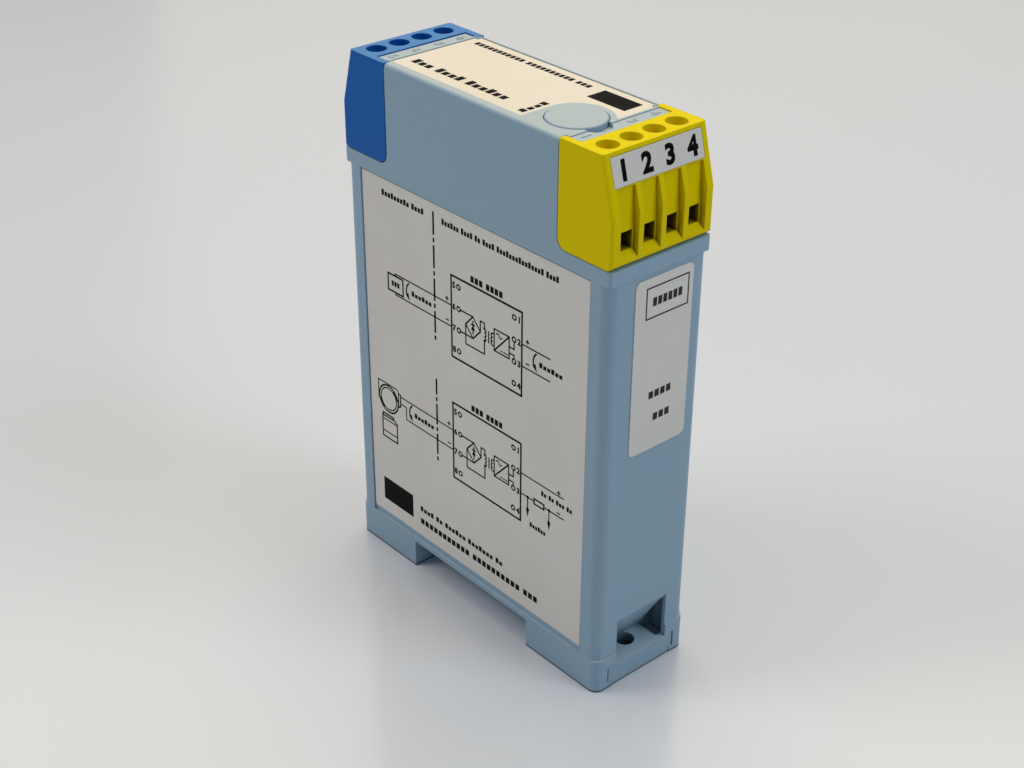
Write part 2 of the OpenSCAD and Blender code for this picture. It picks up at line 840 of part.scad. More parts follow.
// Upright board: wide in the lower case, narrow where it passes up into the cover
module main_board() color(board_green) {
    wide_x = half_body - wall - 2 * slide_gap;
    hall_x = block_seam - seam - wall - board_room;
    high_z = board_top_z - board_t;
    translate([0, board_y + board_t / 2, 0]) across(board_t) {
        translate([-wide_x, guide_low]) square([2 * wide_x, guide_high - guide_low]);
        translate([-hall_x, guide_low]) square([2 * hall_x, high_z - guide_low]);
    }
}

// Ferrite core with a window on each side of its middle leg
module transformer_core() color([0.18, 0.18, 0.19]) {
    translate([0, core_y, core_z]) across(core_t) difference() {
        square([core_len, core_h], center = true);
        for (side = [-1, 1]) {
            translate([side * (core_mid + window_len) / 2, 0]) square([window_len, window_h], center = true);
        }
    }
}

// Winding on its bobbin round the core's middle leg
module transformer_winding() color([0.75, 0.45, 0.2]) {
    outer_x = core_mid / 2 + window_len - winding_gap;
    inner_x = core_mid / 2 + winding_gap;
    half_h = window_h / 2 - winding_gap;
    difference() {
        span([-outer_x, board_y - winding_d, core_z - half_h], [outer_x, board_y, core_z + half_h]);
        span([-inner_x, core_y - core_t / 2 - winding_gap, core_z - core_h],
             [inner_x, core_y + core_t / 2 + winding_gap, core_z + core_h]);
    }
}

module capacitors() color([0.15, 0.17, 0.25]) {
    for (i = [0 : rows - 1]) {
        mid_z = core_z + row_place(i) * (can_d + part_gap);
        translate([-part_x, board_y, mid_z]) rotate([90, 0, 0]) cylinder(d = can_d, h = can_h);
    }
}

module chips() color([0.1, 0.1, 0.11]) {
    low_x = part_x - chip_len / 2;
    for (i = [0 : rows - 1]) {
        low_z = core_z + row_place(i) * (chip_h + part_gap) - chip_h / 2;
        translate([low_x, board_y - chip_t, low_z]) cube([chip_len, chip_t, chip_h]);
    }
}

// Labels and the tag

module side_label() color(white) {
    half_len = half_body - side_strip - label_gap;
    face_y = -half_w + side_recess;
    span([-half_len, face_y - label_t, foot_h + label_low_gap], [half_len, face_y, tub_h - label_gap]);
}

module end_label() color(white) {
    mid_z = tub_h - end_label_down - end_label_h / 2;
    translate([half_body + label_t / 2, end_label_y, mid_z]) along(label_t) {
        round_rect(end_label_w, end_label_h, end_label_r);
    }
}

module top_label() color(white) {
    translate([0, 0, top_z - top_recess]) linear_extrude(label_t) difference() {
        top_label_outline(label_gap / 2);
        cap_area();
    }
}

module tag_plate() color(white) tag_shape(0, tag_t, 0);

// Drawing

case_tub();
top_cover();
yellow_terminal_block();
blue_terminal_block();
for (i = [0 : ways - 1]) {
    terminal_screw(i);
    mirror([1, 0, 0]) terminal_screw(i);
    clamp_cage(i);
    mirror([1, 0, 0]) clamp_cage(i);
}
yellow_contacts();
blue_contacts();
rail_latch();
latch_spring();
fuse_cap();
fuse();
fuse_socket();
connection_board();
main_board();
transformer_core();
transformer_winding();
capacitors();
chips();
side_label();
end_label();
top_label();
tag_plate();
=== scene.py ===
"""Looks of a rail-mounted signal isolator.

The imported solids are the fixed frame. This script gives each of them its finish, puts a coil in the place of
the latch's spring, adds the print on the labels and the raised figures beside the terminals, and sets up the
floor, the lamps and the camera. Lengths in the layout classes are millimetres, and Blender's own are metres.
"""

import json
import logging
import math
from dataclasses import dataclass
from enum import Enum
from typing import Any, Optional, Sequence, Union

import bmesh
import bpy
from mathutils import Matrix, Quaternion, Vector


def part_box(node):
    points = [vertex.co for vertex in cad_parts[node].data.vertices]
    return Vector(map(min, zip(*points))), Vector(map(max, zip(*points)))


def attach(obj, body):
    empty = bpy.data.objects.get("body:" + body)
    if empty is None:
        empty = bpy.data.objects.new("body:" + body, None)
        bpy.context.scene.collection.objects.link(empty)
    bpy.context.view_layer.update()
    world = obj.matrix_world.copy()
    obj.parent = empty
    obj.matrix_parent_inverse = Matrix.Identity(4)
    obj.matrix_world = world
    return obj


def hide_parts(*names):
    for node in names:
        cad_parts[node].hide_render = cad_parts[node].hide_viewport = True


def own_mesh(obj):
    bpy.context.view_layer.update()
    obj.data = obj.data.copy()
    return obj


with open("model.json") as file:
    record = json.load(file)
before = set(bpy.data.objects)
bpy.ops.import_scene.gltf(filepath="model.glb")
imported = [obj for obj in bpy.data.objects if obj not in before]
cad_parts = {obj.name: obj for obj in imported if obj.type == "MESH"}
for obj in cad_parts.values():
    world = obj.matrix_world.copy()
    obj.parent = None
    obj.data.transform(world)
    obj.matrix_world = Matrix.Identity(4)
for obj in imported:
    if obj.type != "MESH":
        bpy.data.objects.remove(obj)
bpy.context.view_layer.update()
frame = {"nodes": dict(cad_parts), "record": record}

LOG = logging.getLogger("signal_isolator")
MM = 0.001

Point = tuple[float, float]
Place = tuple[float, float, float]
Span = tuple[float, float]
Colour = tuple[float, float, float]


def srgb(code: str) -> Colour:
    """Turns a colour as it is seen on a screen into linear light.

    Args:
        code: Six hexadecimal digits, such as "A0B8C7".

    Returns:
        The linear red, green and blue.
    """
    shares = [int(code[i:i + 2], 16) / 255 for i in (0, 2, 4)]
    return tuple(s / 12.92 if s <= 0.04045 else ((s + 0.055) / 1.055) ** 2.4 for s in shares)


class Carries(Enum):
    """What a node's socket carries."""

    VALUE = "VALUE"
    VECTOR = "VECTOR"
    COLOUR = "RGBA"


class Operation(Enum):
    """The arithmetic that a signal can take part in."""

    ADD = "ADD"
    SUBTRACT = "SUBTRACT"
    MULTIPLY = "MULTIPLY"


class Signal:
    """A node's output socket, with the operators that the finishes use."""

    def __init__(self, graph: "Graph", socket: bpy.types.NodeSocket) -> None:
        """Keeps the socket and the graph that new nodes go into."""
        self.graph = graph
        self.socket = socket

    @property
    def carries(self) -> Carries:
        """What the socket carries."""
        return Carries(self.socket.type)

    def __add__(self, other: "Operand") -> "Signal":
        """This signal plus another."""
        return self.graph.combine(Operation.ADD, self, other)

    def __radd__(self, other: "Operand") -> "Signal":
        """Another plus this signal."""
        return self.graph.combine(Operation.ADD, other, self)

    def __sub__(self, other: "Operand") -> "Signal":
        """This signal less another."""
        return self.graph.combine(Operation.SUBTRACT, self, other)

    def __rsub__(self, other: "Operand") -> "Signal":
        """Another less this signal."""
        return self.graph.combine(Operation.SUBTRACT, other, self)

    def __mul__(self, other: "Operand") -> "Signal":
        """This signal times another."""
        return self.graph.combine(Operation.MULTIPLY, self, other)

    def __rmul__(self, other: "Operand") -> "Signal":
        """Another times this signal."""
        return self.graph.combine(Operation.MULTIPLY, other, self)


Operand = Union[Signal, float, Colour]


class Graph:
    """The node graph of one material. A wave texture of scale 1 has bands about band_m wide."""

    bevel_samples = 6
    edge_span = (0.02, 0.3)
    hole_samples = 8
    hole_span = (0.5, 0.28)
    band_m = 1 / 6

    def __init__(self, name: str) -> None:
        """Starts a material of that name with nothing but its output.

        Args:
            name: The material's name.
        """
        self.material = bpy.data.materials.new(name)
        self.material.use_nodes = True
        self.tree = self.material.node_tree
        self.tree.nodes.clear()
        self.end = self.tree.nodes.new("ShaderNodeOutputMaterial")

    def node(
        self,
        kind: str,
        settings: Optional[dict[str, Any]] = None,
        inputs: Optional[dict[Union[int, str], Any]] = None,
        output: Union[int, str] = 0,
    ) -> Signal:
        """Adds a node.

        Args:
            kind: The node's type.
            settings: Its own settings, which are set first. "stops" are a ramp's positions and colours.
            inputs: Values or signals for its sockets, by name or number.
            output: The output that is wanted.

        Returns:
            That output as a signal.
        """
        made = self.tree.nodes.new(kind)
        for key, value in (settings or {}).items():
            if key == "stops":
                self._set_stops(made.color_ramp, value)
            else:
                setattr(made, key, value)
        for key, value in (inputs or {}).items():
            self._feed(made.inputs[key], value)
        return Signal(self, made.outputs[output])

    def combine(self, operation: Operation, a: Operand, b: Operand) -> Signal:
        """Adds the node that works out one expression.

        Args:
            operation: The arithmetic.
            a: The first operand.
            b: The second operand.

        Returns:
            The result.
        """
        kinds = {x.carries for x in (a, b) if isinstance(x, Signal)}
        if Carries.COLOUR in kinds:
            settings = {"data_type": "RGBA", "blend_type": operation.value}
            return self.node("ShaderNodeMix", settings, {0: 1.0, 6: a, 7: b}, output=2)
        if Carries.VECTOR in kinds:
            return self.node("ShaderNodeVectorMath", {"operation": operation.value}, {0: a, 1: b})
        return self.node("ShaderNodeMath", {"operation": operation.value}, {0: a, 1: b})

    def blend(self, share: Operand, a: Operand, b: Operand) -> Signal:
        """Colour a where share is 0, colour b where it is 1."""
        return self.node("ShaderNodeMix", {"data_type": "RGBA"}, {0: share, 6: a, 7: b}, output=2)

    def tint(self, colour: Colour, tone: Signal) -> Signal:
        """A plain colour made lighter or darker by a tone round 1."""
        settings = {"data_type": "RGBA", "blend_type": "MULTIPLY"}
        return self.node("ShaderNodeMix", settings, {0: 1.0, 6: colour, 7: tone}, output=2)

    def place(self) -> Signal:
        """The point on the piece, in metres."""
        return self.node("ShaderNodeTexCoord", output="Object")

    def noise(self, place: Signal, size_mm: float, detail: float = 2.0, rough: float = 0.5) -> Signal:
        """Soft noise round one half.

        Args:
            place: The point to read it at.
            size_mm: How large its spots are.
            detail: How many finer layers it has.
            rough: How strong those layers are.

        Returns:
            The noise, from 0 to 1.
        """
        inputs = {"Vector": place, "Scale": 1 / (size_mm * MM), "Detail": detail, "Roughness": rough}
        return self.node("ShaderNodeTexNoise", {}, inputs, output="Fac")

    def ramp(self, signal: Signal, low: float, high: float) -> Signal:
        """A signal spread so that low becomes 0 and high becomes 1."""
        inputs = {"Value": signal, "From Min": low, "From Max": high}
        return self.node("ShaderNodeMapRange", {"clamp": True}, inputs)

    def wave(self, place: Signal, direction: str, band_mm: float, bend: float) -> Signal:
        """Parallel bands.

        Args:
            place: The point to read them at.
            direction: The axis that they follow each other along.
            band_mm: About how wide one band is.
            bend: How far they stray from straight.

        Returns:
            The bands, from 0 to 1.
        """
        settings = {"wave_type": "BANDS", "bands_direction": direction}
        inputs = {"Vector": place, "Scale": self.band_m / (band_mm * MM), "Distortion": bend}
        return self.node("ShaderNodeTexWave", settings, inputs, output="Fac")

    def height(self, vector: Signal) -> Signal:
        """How far a point or a direction rises."""
        return self.node("ShaderNodeSeparateXYZ", {}, {"Vector": vector}, output="Z")

    def soft_normal(self, radius_mm: float) -> Signal:
        """The surface's direction, with its edges rounded by that radius."""
        return self.node("ShaderNodeBevel", {"samples": self.bevel_samples}, {"Radius": radius_mm * MM})

    def edge(self, soft: Signal) -> Signal:
        """How far the rounded direction departs from the true one.

        Args:
            soft: The rounded direction.

        Returns:
            0 on open faces, 1 at an edge.
        """
        true = self.node("ShaderNodeNewGeometry", output="Normal")
        along = self.node("ShaderNodeVectorMath", {"operation": "DOT_PRODUCT"}, {0: soft, 1: true}, "Value")
        return self.ramp(1 - along, *self.edge_span)

    def closed(self, reach_mm: float) -> Signal:
        """1 deep in the piece's own holes and corners, 0 on open faces.

        Args:
            reach_mm: How near another wall must be to count.

        Returns:
            How closed in the point is.
        """
        settings = {"samples": self.hole_samples, "only_local": True}
        inputs = {"Distance": reach_mm * MM}
        open_share = self.node("ShaderNodeAmbientOcclusion", settings, inputs, output="AO")
        return self.ramp(open_share, *self.hole_span)

    def facing(self, low: float, high: float) -> Signal:
        """0 on faces whose direction rises by less than low, 1 on those that rise by more than high."""
        true = self.node("ShaderNodeNewGeometry", output="Normal")
        return self.ramp(self.height(true), low, high)

    def bump(self, height: Signal, depth_mm: float, normal: Optional[Signal] = None) -> Signal:
        """A relief on the surface.

        Args:
            height: Its height, from 0 to 1.
            depth_mm: How deep it is.
            normal: The direction that it starts from, if not the true one.

        Returns:
            The new direction.
        """
        inputs = {"Height": height, "Distance": depth_mm * MM, "Strength": 1.0}
        if normal is not None:
            inputs["Normal"] = normal
        return self.node("ShaderNodeBump", {}, inputs)

    def surface(self, **sockets: Operand) -> bpy.types.Material:
        """Joins everything to one shader.

        Args:
            sockets: Values or signals for the shader's sockets, by their short names in SOCKETS.

        Returns:
            The finished material.
        """
        inputs = {SOCKETS[key]: value for key, value in sockets.items()}
        shader = self.node("ShaderNodeBsdfPrincipled", {}, inputs)
        self._feed(self.end.inputs["Surface"], shader)
        return self.material

    def _feed(self, socket: bpy.types.NodeSocket, value: Operand) -> None:
        """Links a signal to a socket, or sets its plain value.

        Args:
            socket: The input socket.
            value: The signal, number, colour or vector.
        """
        if isinstance(value, Signal):
            self.tree.links.new(value.socket, socket)
        elif socket.type == "RGBA":
            spread = (value,) * 3 if isinstance(value, (int, float)) else tuple(value)
            socket.default_value = (*spread, 1.0)
        elif socket.type == "VECTOR" and isinstance(value, (int, float)):
            socket.default_value = (value,) * 3
        else:
            socket.default_value = value

    @staticmethod
    def _set_stops(ramp: bpy.types.ColorRamp, stops: Sequence[tuple[float, Colour]]) -> None:
        """Gives a colour ramp its stops.

        Args:
            ramp: The ramp.
            stops: Positions and colours, in order.
        """
        while len(ramp.elements) < len(stops):
            ramp.elements.new(1.0)
        for element, (position, colour) in zip(ramp.elements, stops):
            element.position = position
            element.color = (*colour, 1.0)


SOCKETS = {
    "colour": "Base Color",
    "roughness": "Roughness",
    "metallic": "Metallic",
    "normal": "Normal",
    "coat": "Coat Weight",
    "specular": "Specular IOR Level",
}


@dataclass(frozen=True)
class Moulding:
    """Moulded plastic with fine grain and slight mottle.

    Its edges are worn pale and painted paler as a highlight, its upward faces carry dust and a painted sheen,
    and its holes and a thin line at the floor are painted shade.
    """

    name: str
    colour: Colour
    roughness: float = 0.42
    specular: float = 0.4
    mottle: float = 0.05
    broad_mm: float = 26.0
    speckle_mm: float = 0.9
    speckle_gloss: float = 0.06
    grain_mm: float = 0.22
    grain_depth_mm: float = 0.01
    smudge_mm: float = 9.0
    smudge_gloss: float = 0.16
    edge_mm: float = 0.35
    edge_gloss: float = 0.08
    # Edge paling, partly wear and partly a painted highlight.
    rub: float = 0.2
    rub_pale: float = 0.4
    rub_span: Span = (0.35, 0.65)
    # A little dust and a painted sheen on upward faces: a pale colour high up, and a painted highlight low
    # down.
    dust: float = 0.06
    dust_span: Span = (0.42, 0.75)
    top_span: Span = (0.6, 0.95)
    fade: float = 0.0
    fade_colour: Colour = srgb("DED8C0")
    fade_above_mm: float = 0.0
    # Painted shade, in a dark colour, in the holes and in a thin line at the floor, below a height.
    dirt: float = 0.9
    dirt_reach_mm: float = 8.0
    dirt_colour: Colour = srgb("0B1118")
    dirt_below_mm: float = 200.0
    dirt_fade_mm: float = 1.0
    # The thin painted shadow line where upright faces meet the floor.
    sole: float = 0.8
    sole_mm: float = 0.55
    wall_span: Span = (-0.5, -0.1)

    @property
    def pale(self) -> Colour:
        """The pale colour of worn and dusty plastic, also used for painted highlights on edges and low upward
        faces.
        """
        return tuple(c + (1 - c) * self.rub_pale for c in self.colour)

    def material(self) -> bpy.types.Material:
        """Makes the material.

        Returns:
            The material.
        """
        graph = Graph(self.name)
        place = graph.place()
        broad = graph.noise(place, self.broad_mm, detail=3)
        speckle = graph.noise(place, self.speckle_mm)
        grain = graph.noise(place, self.grain_mm)
        smudge = graph.noise(place, self.smudge_mm, detail=4, rough=0.6)
        soft = graph.soft_normal(self.edge_mm)
        edge = graph.edge(soft)
        tone = 1 + (broad - 0.5) * self.mottle + (speckle - 0.5) * (self.mottle / 2)
        # Edges made paler, partly as wear and partly as a painted highlight.
        rub_and_highlight_mask = edge * graph.ramp(smudge, *self.rub_span) * self.rub
        clean = graph.blend(rub_and_highlight_mask, graph.tint(self.colour, tone), self.pale)
        colour = self._weathered(graph, clean, place, speckle)
        rough = self.roughness + (smudge - 0.5) * self.smudge_gloss
        rough = rough + (speckle - 0.5) * self.speckle_gloss - edge * self.edge_gloss
        normal = graph.bump(grain, self.grain_depth_mm, soft)
        return graph.surface(colour=colour, roughness=rough, normal=normal, specular=self.specular)

    def _weathered(self, graph: Graph, clean: Signal, place: Signal, speckle: Signal) -> Signal:
        """Paints dust with a sheen on high upward faces and a highlight on low ones, and shade in the holes
        and at the floor.

        Args:
            graph: The graph that the nodes go into.
            clean: The colour of the clean plastic.
            place: The point on the piece.
            speckle: Fine noise that breaks up the dust.

        Returns:
            The colour with its dust and its painted light and shade.
        """
        height = graph.height(place)
        below = graph.ramp(height, self.dirt_below_mm * MM, (self.dirt_below_mm - self.dirt_fade_mm) * MM)
        above = graph.ramp(height, self.fade_above_mm * MM, (self.fade_above_mm + self.dirt_fade_mm) * MM)
        # Upward faces get a little dust and a painted sheen high up, and a painted highlight low down.
        dust_and_sheen = graph.facing(*self.top_span) * (self.fade + graph.ramp(speckle, *self.dust_span) * self.dust)
        colour = graph.blend(dust_and_sheen * above, clean, self.fade_colour)
        colour = graph.blend(dust_and_sheen * below, colour, self.pale)
        # Painted shade, from an occlusion signal, in the piece's own holes and corners below a height.
        holes = graph.closed(self.dirt_reach_mm) * below * self.dirt
        colour = graph.blend(holes, colour, self.dirt_colour)
        # A thin painted shadow line along the foot of upright faces, where they meet the floor.
        sole = graph.ramp(height, self.sole_mm * MM, self.sole_mm / 2 * MM) * graph.facing(*self.wall_span)
        return graph.blend(sole * self.sole, colour, self.dirt_colour)


@dataclass(frozen=True)
class Film:
    """Label stock: a faint fibre, a broad unevenness and a few blisters where it isn't stuck down."""

    name: str
    colour: Colour
    aged: Colour
    roughness: float = 0.42
    specular: float = 0.4
    age_mm: float = 22.0
    age: float = 0.55
    age_span: Span = (0.3, 0.8)
    fibre_mm: float = 0.35
    fibre_share: float = 0.06
    fibre_gloss: float = 0.05
    fibre_depth_mm: float = 0.003
    wave_mm: float = 7.0
    wave_depth_mm: float = 0.03
    handled_mm: float = 5.0
    handled_gloss: float = 0.2
    blister_mm: float = 5.0
    blister_span: Span = (0.55, 0.8)
    blister_depth_mm: float = 0.0
    edge_mm: float = 0.08

    def material(self) -> bpy.types.Material:
        """Makes the material.

        Returns:
            The material.
        """
        graph = Graph(self.name)
        place = graph.place()
        age = graph.noise(place, self.age_mm, detail=3)
        fibre = graph.noise(place, self.fibre_mm, detail=3)
        wave = graph.noise(place, self.wave_mm, detail=1)
        handled = graph.noise(place, self.handled_mm, detail=4, rough=0.65)
        blister = graph.ramp(graph.noise(place, self.blister_mm, detail=0), *self.blister_span)
        oldest = tuple(new + (old - new) * self.age for new, old in zip(self.colour, self.aged))
        stops = tuple(zip(self.age_span, (self.colour, oldest)))
        stock = graph.node("ShaderNodeValToRGB", {"stops": stops}, {"Fac": age}, output="Color")
        colour = stock * (1 + (fibre - 0.5) * self.fibre_share)
        rough = self.roughness + (handled - 0.5) * self.handled_gloss + (fibre - 0.5) * self.fibre_gloss
        normal = graph.bump(wave, self.wave_depth_mm, graph.soft_normal(self.edge_mm))
        normal = graph.bump(blister, self.blister_depth_mm, normal)
        normal = graph.bump(fibre, self.fibre_depth_mm, normal)
        return graph.surface(colour=colour, roughness=rough, normal=normal, specular=self.specular)


@dataclass(frozen=True)
class Ink:
    """Printing ink that lies a little unevenly."""

    name: str
    colour: Colour
    worn: Colour
    wear: float = 0.3
    roughness: float = 0.5
    specular: float = 0.05
    patch_mm: float = 0.5
    patch_span: Span = (0.5, 0.8)
    patch_gloss: float = 0.15
    broad_mm: float = 8.0
    broad_span: Span = (0.3, 0.7)

    def material(self) -> bpy.types.Material:
        """Makes the material.

        Returns:
            The material.
        """
        graph = Graph(self.name)
        place = graph.place()
        patch = graph.noise(place, self.patch_mm, detail=3)
        broad = graph.noise(place, self.broad_mm)
        share = graph.ramp(patch, *self.patch_span) * graph.ramp(broad, *self.broad_span) * self.wear
        colour = graph.blend(share, self.colour, self.worn)
        rough = self.roughness + patch * self.patch_gloss
        return graph.surface(colour=colour, roughness=rough, specular=self.specular)


@dataclass(frozen=True)
class Metal:
    """Bare or plated metal with fine tool marks and a little tarnish."""

    name: str
    colour: Colour
    tarnish: Colour
    roughness: float = 0.3
    streak: Place = (1.0, 1.0, 0.15)
    mark_mm: float = 0.12
    mark_gloss: float = 0.2
    mark_depth_mm: float = 0.004
    spot_mm: float = 1.6
    spot_span: Span = (0.45, 0.8)
    spot_share: float = 0.6
    spot_gloss: float = 0.15
    edge_mm: float = 0.12

    def material(self) -> bpy.types.Material:
        """Makes the material.

        Returns:
            The material.
        """
        graph = Graph(self.name)
        place = graph.place()
        marks = graph.noise(place * self.streak, self.mark_mm)
        spots = graph.noise(place, self.spot_mm, detail=4, rough=0.65)
        tarnished = graph.ramp(spots, *self.spot_span) * self.spot_share
        colour = graph.blend(tarnished, self.colour, self.tarnish)
        rough = self.roughness + (marks - 0.5) * self.mark_gloss + (spots - 0.5) * self.spot_gloss
        normal = graph.bump(marks, self.mark_depth_mm, graph.soft_normal(self.edge_mm))
        return graph.surface(colour=colour, roughness=rough, metallic=1.0, normal=normal)


@dataclass(frozen=True)
class Laminate:
    """Circuit board laminate with its weave under the lacquer."""

    name: str
    colour: Colour
    weave: Colour
    weave_mm: float = 0.45
    weave_bend: float = 0.6
    weave_share: float = 0.35
    weave_depth_mm: float = 0.006
    broad_mm: float = 14.0
    broad_gloss: float = 0.12
    mottle: float = 0.2
    roughness: float = 0.32
    edge_mm: float = 0.1

    def material(self) -> bpy.types.Material:
        """Makes the material.

        Returns:
            The material.
        """
        graph = Graph(self.name)
        place = graph.place()
        thread = graph.wave(place, "DIAGONAL", self.weave_mm, self.weave_bend)
        broad = graph.noise(place, self.broad_mm, detail=3)
        resin = graph.tint(self.colour, 1 + (broad - 0.5) * self.mottle)
        colour = graph.blend(thread * self.weave_share, resin, self.weave)
        rough = self.roughness + broad * self.broad_gloss
        normal = graph.bump(thread, self.weave_depth_mm, graph.soft_normal(self.edge_mm))
        return graph.surface(colour=colour, roughness=rough, normal=normal)


@dataclass(frozen=True)
class Ceramic:
    """Pressed ferrite or moulded epoxy: dark, matt and slightly pitted."""

    name: str
    colour: Colour
    roughness: float = 0.62
    mottle: float = 0.4
    broad_mm: float = 5.0
    pit_mm: float = 0.3
    pit_gloss: float = 0.2
    pit_depth_mm: float = 0.01
    edge_mm: float = 0.2

    def material(self) -> bpy.types.Material:
        """Makes the material.

        Returns:
            The material.
        """
        graph = Graph(self.name)
        place = graph.place()
        pits = graph.noise(place, self.pit_mm, detail=3, rough=0.6)
        broad = graph.noise(place, self.broad_mm, detail=3)
        colour = graph.tint(self.colour, 1 + (broad - 0.5) * self.mottle)
        rough = self.roughness + (pits - 0.5) * self.pit_gloss
        normal = graph.bump(pits, self.pit_depth_mm, graph.soft_normal(self.edge_mm))
        return graph.surface(colour=colour, roughness=rough, normal=normal)


@dataclass(frozen=True)
class Wound:
    """Layers of wire or tape that run round a former."""

    name: str
    colour: Colour
    shade: Colour
    turn_mm: float = 0.5
    turn_bend: float = 0.4
    turn_share: float = 0.7
    turn_depth_mm: float = 0.05
    broad_mm: float = 4.0
    broad_gloss: float = 0.15
    roughness: float = 0.3
    coat: float = 0.2
    edge_mm: float = 0.2

    def material(self) -> bpy.types.Material:
        """Makes the material.

        Returns:
            The material.
        """
        graph = Graph(self.name)
        place = graph.place()
        turn = graph.wave(place, "Z", self.turn_mm, self.turn_bend)
        broad = graph.noise(place, self.broad_mm, detail=3)
        colour = graph.blend(turn * self.turn_share, self.shade, self.colour)
        rough = self.roughness + broad * self.broad_gloss
        normal = graph.bump(turn, self.turn_depth_mm, graph.soft_normal(self.edge_mm))
        return graph.surface(colour=colour, roughness=rough, normal=normal, coat=self.coat)


class Finishes:
    """Every finish of the module, each made once."""

    def __init__(self) -> None:
        """Makes the materials."""
        tag_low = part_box("tag_plate")[0].z / MM
        pocket_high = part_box("end_label")[0].z / MM
        # The blocks get painted shade in their wire holes below the tag's lower edge, and may get a painted
        # sheen above it.
        entries = {"dirt": 0.95, "dirt_below_mm": tag_low, "fade_above_mm": tag_low, "edge_mm": 0.4}
        # Pale edges partly worn and partly a painted highlight, a painted sheen on high upward faces, and
        # painted shade below the end label.
        self.case = Moulding(
            "case_plastic", srgb("91B0C7"), edge_mm=0.2, rub=0.45, rub_pale=0.5, fade=0.34,
            fade_above_mm=tag_low, dirt_below_mm=pocket_high,
        ).material()
        # Dark brown painted shade in the wire holes.
        self.yellow = Moulding(
            "yellow_plastic", srgb("EAD400"), roughness=0.5, specular=0.04, rub=0.1, dust=0.0,
            dirt_colour=srgb("341607"), **entries,
        ).material()
        # A pale blue painted sheen on the top, and dark painted shade in the holes.
        self.blue = Moulding(
            "blue_plastic", srgb("0660B6"), roughness=0.4, specular=0.12, rub=0.35, dust=0.02, fade=0.2,
            fade_colour=srgb("A0DCF0"), dirt_colour=srgb("081020"), **entries,
        ).material()
        self.label = Film("label_white", srgb("E4E2DF"), srgb("D6D2CC")).material()
        # The top label's cream tint is partly the stock's own colour and partly a painted warm cast of the
        # overhead lamp.
        self.top_label = Film(
            "top_label_cream", srgb("EEE5D3"), srgb("E6D9C1"), roughness=0.26, fibre_share=0.01,
            fibre_depth_mm=0.0005, blister_mm=7.0, blister_depth_mm=0.06,
        ).material()
        self.tag = Moulding(
            "tag_white", srgb("E2E0DE"), roughness=0.36, mottle=0.03, edge_mm=0.15, rub=0.0, dust=0.02
        ).material()
        self.ink = Ink("print_black", srgb("0D0C0C"), srgb("3A3735")).material()
        self.stamp_ink = Ink("stamp_grey", srgb("3A3634"), srgb("7C7672"), wear=0.6).material()
        self.screw = Metal("screw_steel", srgb("C9C9C6"), srgb("8F8B82")).material()
        self.spring = Metal("spring_steel", srgb("B4B4B4"), srgb("6E6A64"), roughness=0.34).material()
        self.brass = Metal("contact_brass", srgb("CDB68A"), srgb("8C7448"), roughness=0.32).material()
        self.board = Laminate("board_laminate", srgb("2B5A3A"), srgb("3F7650")).material()
        self.ferrite = Ceramic("ferrite", srgb("3A3A3C")).material()
        self.winding = Wound("winding", srgb("C98F3E"), srgb("7A4E1C")).material()
        self.sleeve = Wound("capacitor_sleeve", srgb("24304A"), srgb("1A2338"), turn_mm=6.0).material()
        self.black = Ceramic("black_plastic", srgb("232324"), roughness=0.5, pit_mm=0.2).material()
        self.fuse = Ceramic("fuse_body", srgb("4A2A1E"), roughness=0.28, pit_mm=0.5).material()


def dress(node: str, material: bpy.types.Material) -> None:
    """Gives a solid of the frame its finish.

    Args:
        node: The solid's name.
        material: The finish.
    """
    mesh = frame["nodes"][node].data
    mesh.materials.clear()
    mesh.materials.append(material)
    LOG.info("dressed %s in %s", node, material.name)


def add_piece(
    name: str, mesh: bmesh.types.BMesh, material: bpy.types.Material, body: str
) -> bpy.types.Object:
    """Puts a finished mesh in the scene as one piece.

    Args:
        name: The piece's name.
        mesh: Its mesh, in the frame. It is freed.
        material: Its finish.
        body: The body that it rides on.

    Returns:
        The new object.
    """
    data = bpy.data.meshes.new(name)
    mesh.to_mesh(data)
    mesh.free()
    data.materials.append(material)
    made = bpy.data.objects.new(name, data)
    bpy.context.scene.collection.objects.link(made)
    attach(made, body)
    LOG.info("built %s with %d faces", name, len(data.polygons))
    return made


def height_at(node: str, x: float, y: float) -> float:
    """Height of a solid's upper surface at one place.

    Args:
        node: The solid's name.
        x: The place's X, in metres.
        y: The place's Y, in metres.

    Returns:
        The height, in metres.
    """
    start = Vector((x, y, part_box(node)[1].z + MM))
    _, place, _, _ = frame["nodes"][node].ray_cast(start, Vector((0, 0, -1)))
    return place.z


@dataclass(frozen=True)
class Face:
    """A flat face that something is printed or raised on."""

    corner: Vector
    across: Vector
    up: Vector

    def matrix(self) -> Matrix:
        """Takes millimetres on the face, and above it, to metres in the frame."""
        out = self.across.cross(self.up)
        turn = Matrix((self.across, self.up, out)).transposed() * MM
        return Matrix.Translation(self.corner) @ turn.to_4x4()


class Tops(Enum):
    """How tall the blocks of a row are, one after the other, as shares of the tallest."""

    EVEN = (1.0,)
    UNEVEN = (1.0, 0.74, 0.74, 1.0, 0.74, 0.74, 0.74)


@dataclass(frozen=True)
class Line:
    """A line of small print: its lower left corner, the blocks in each row of it, its length and height.

    Its tops say whether the blocks are all as tall. With up it runs up the face and not across it.
    """

    start: Point
    counts: Sequence[int]
    length: float
    height: float
    tops: Tops = Tops.UNEVEN
    up: bool = False


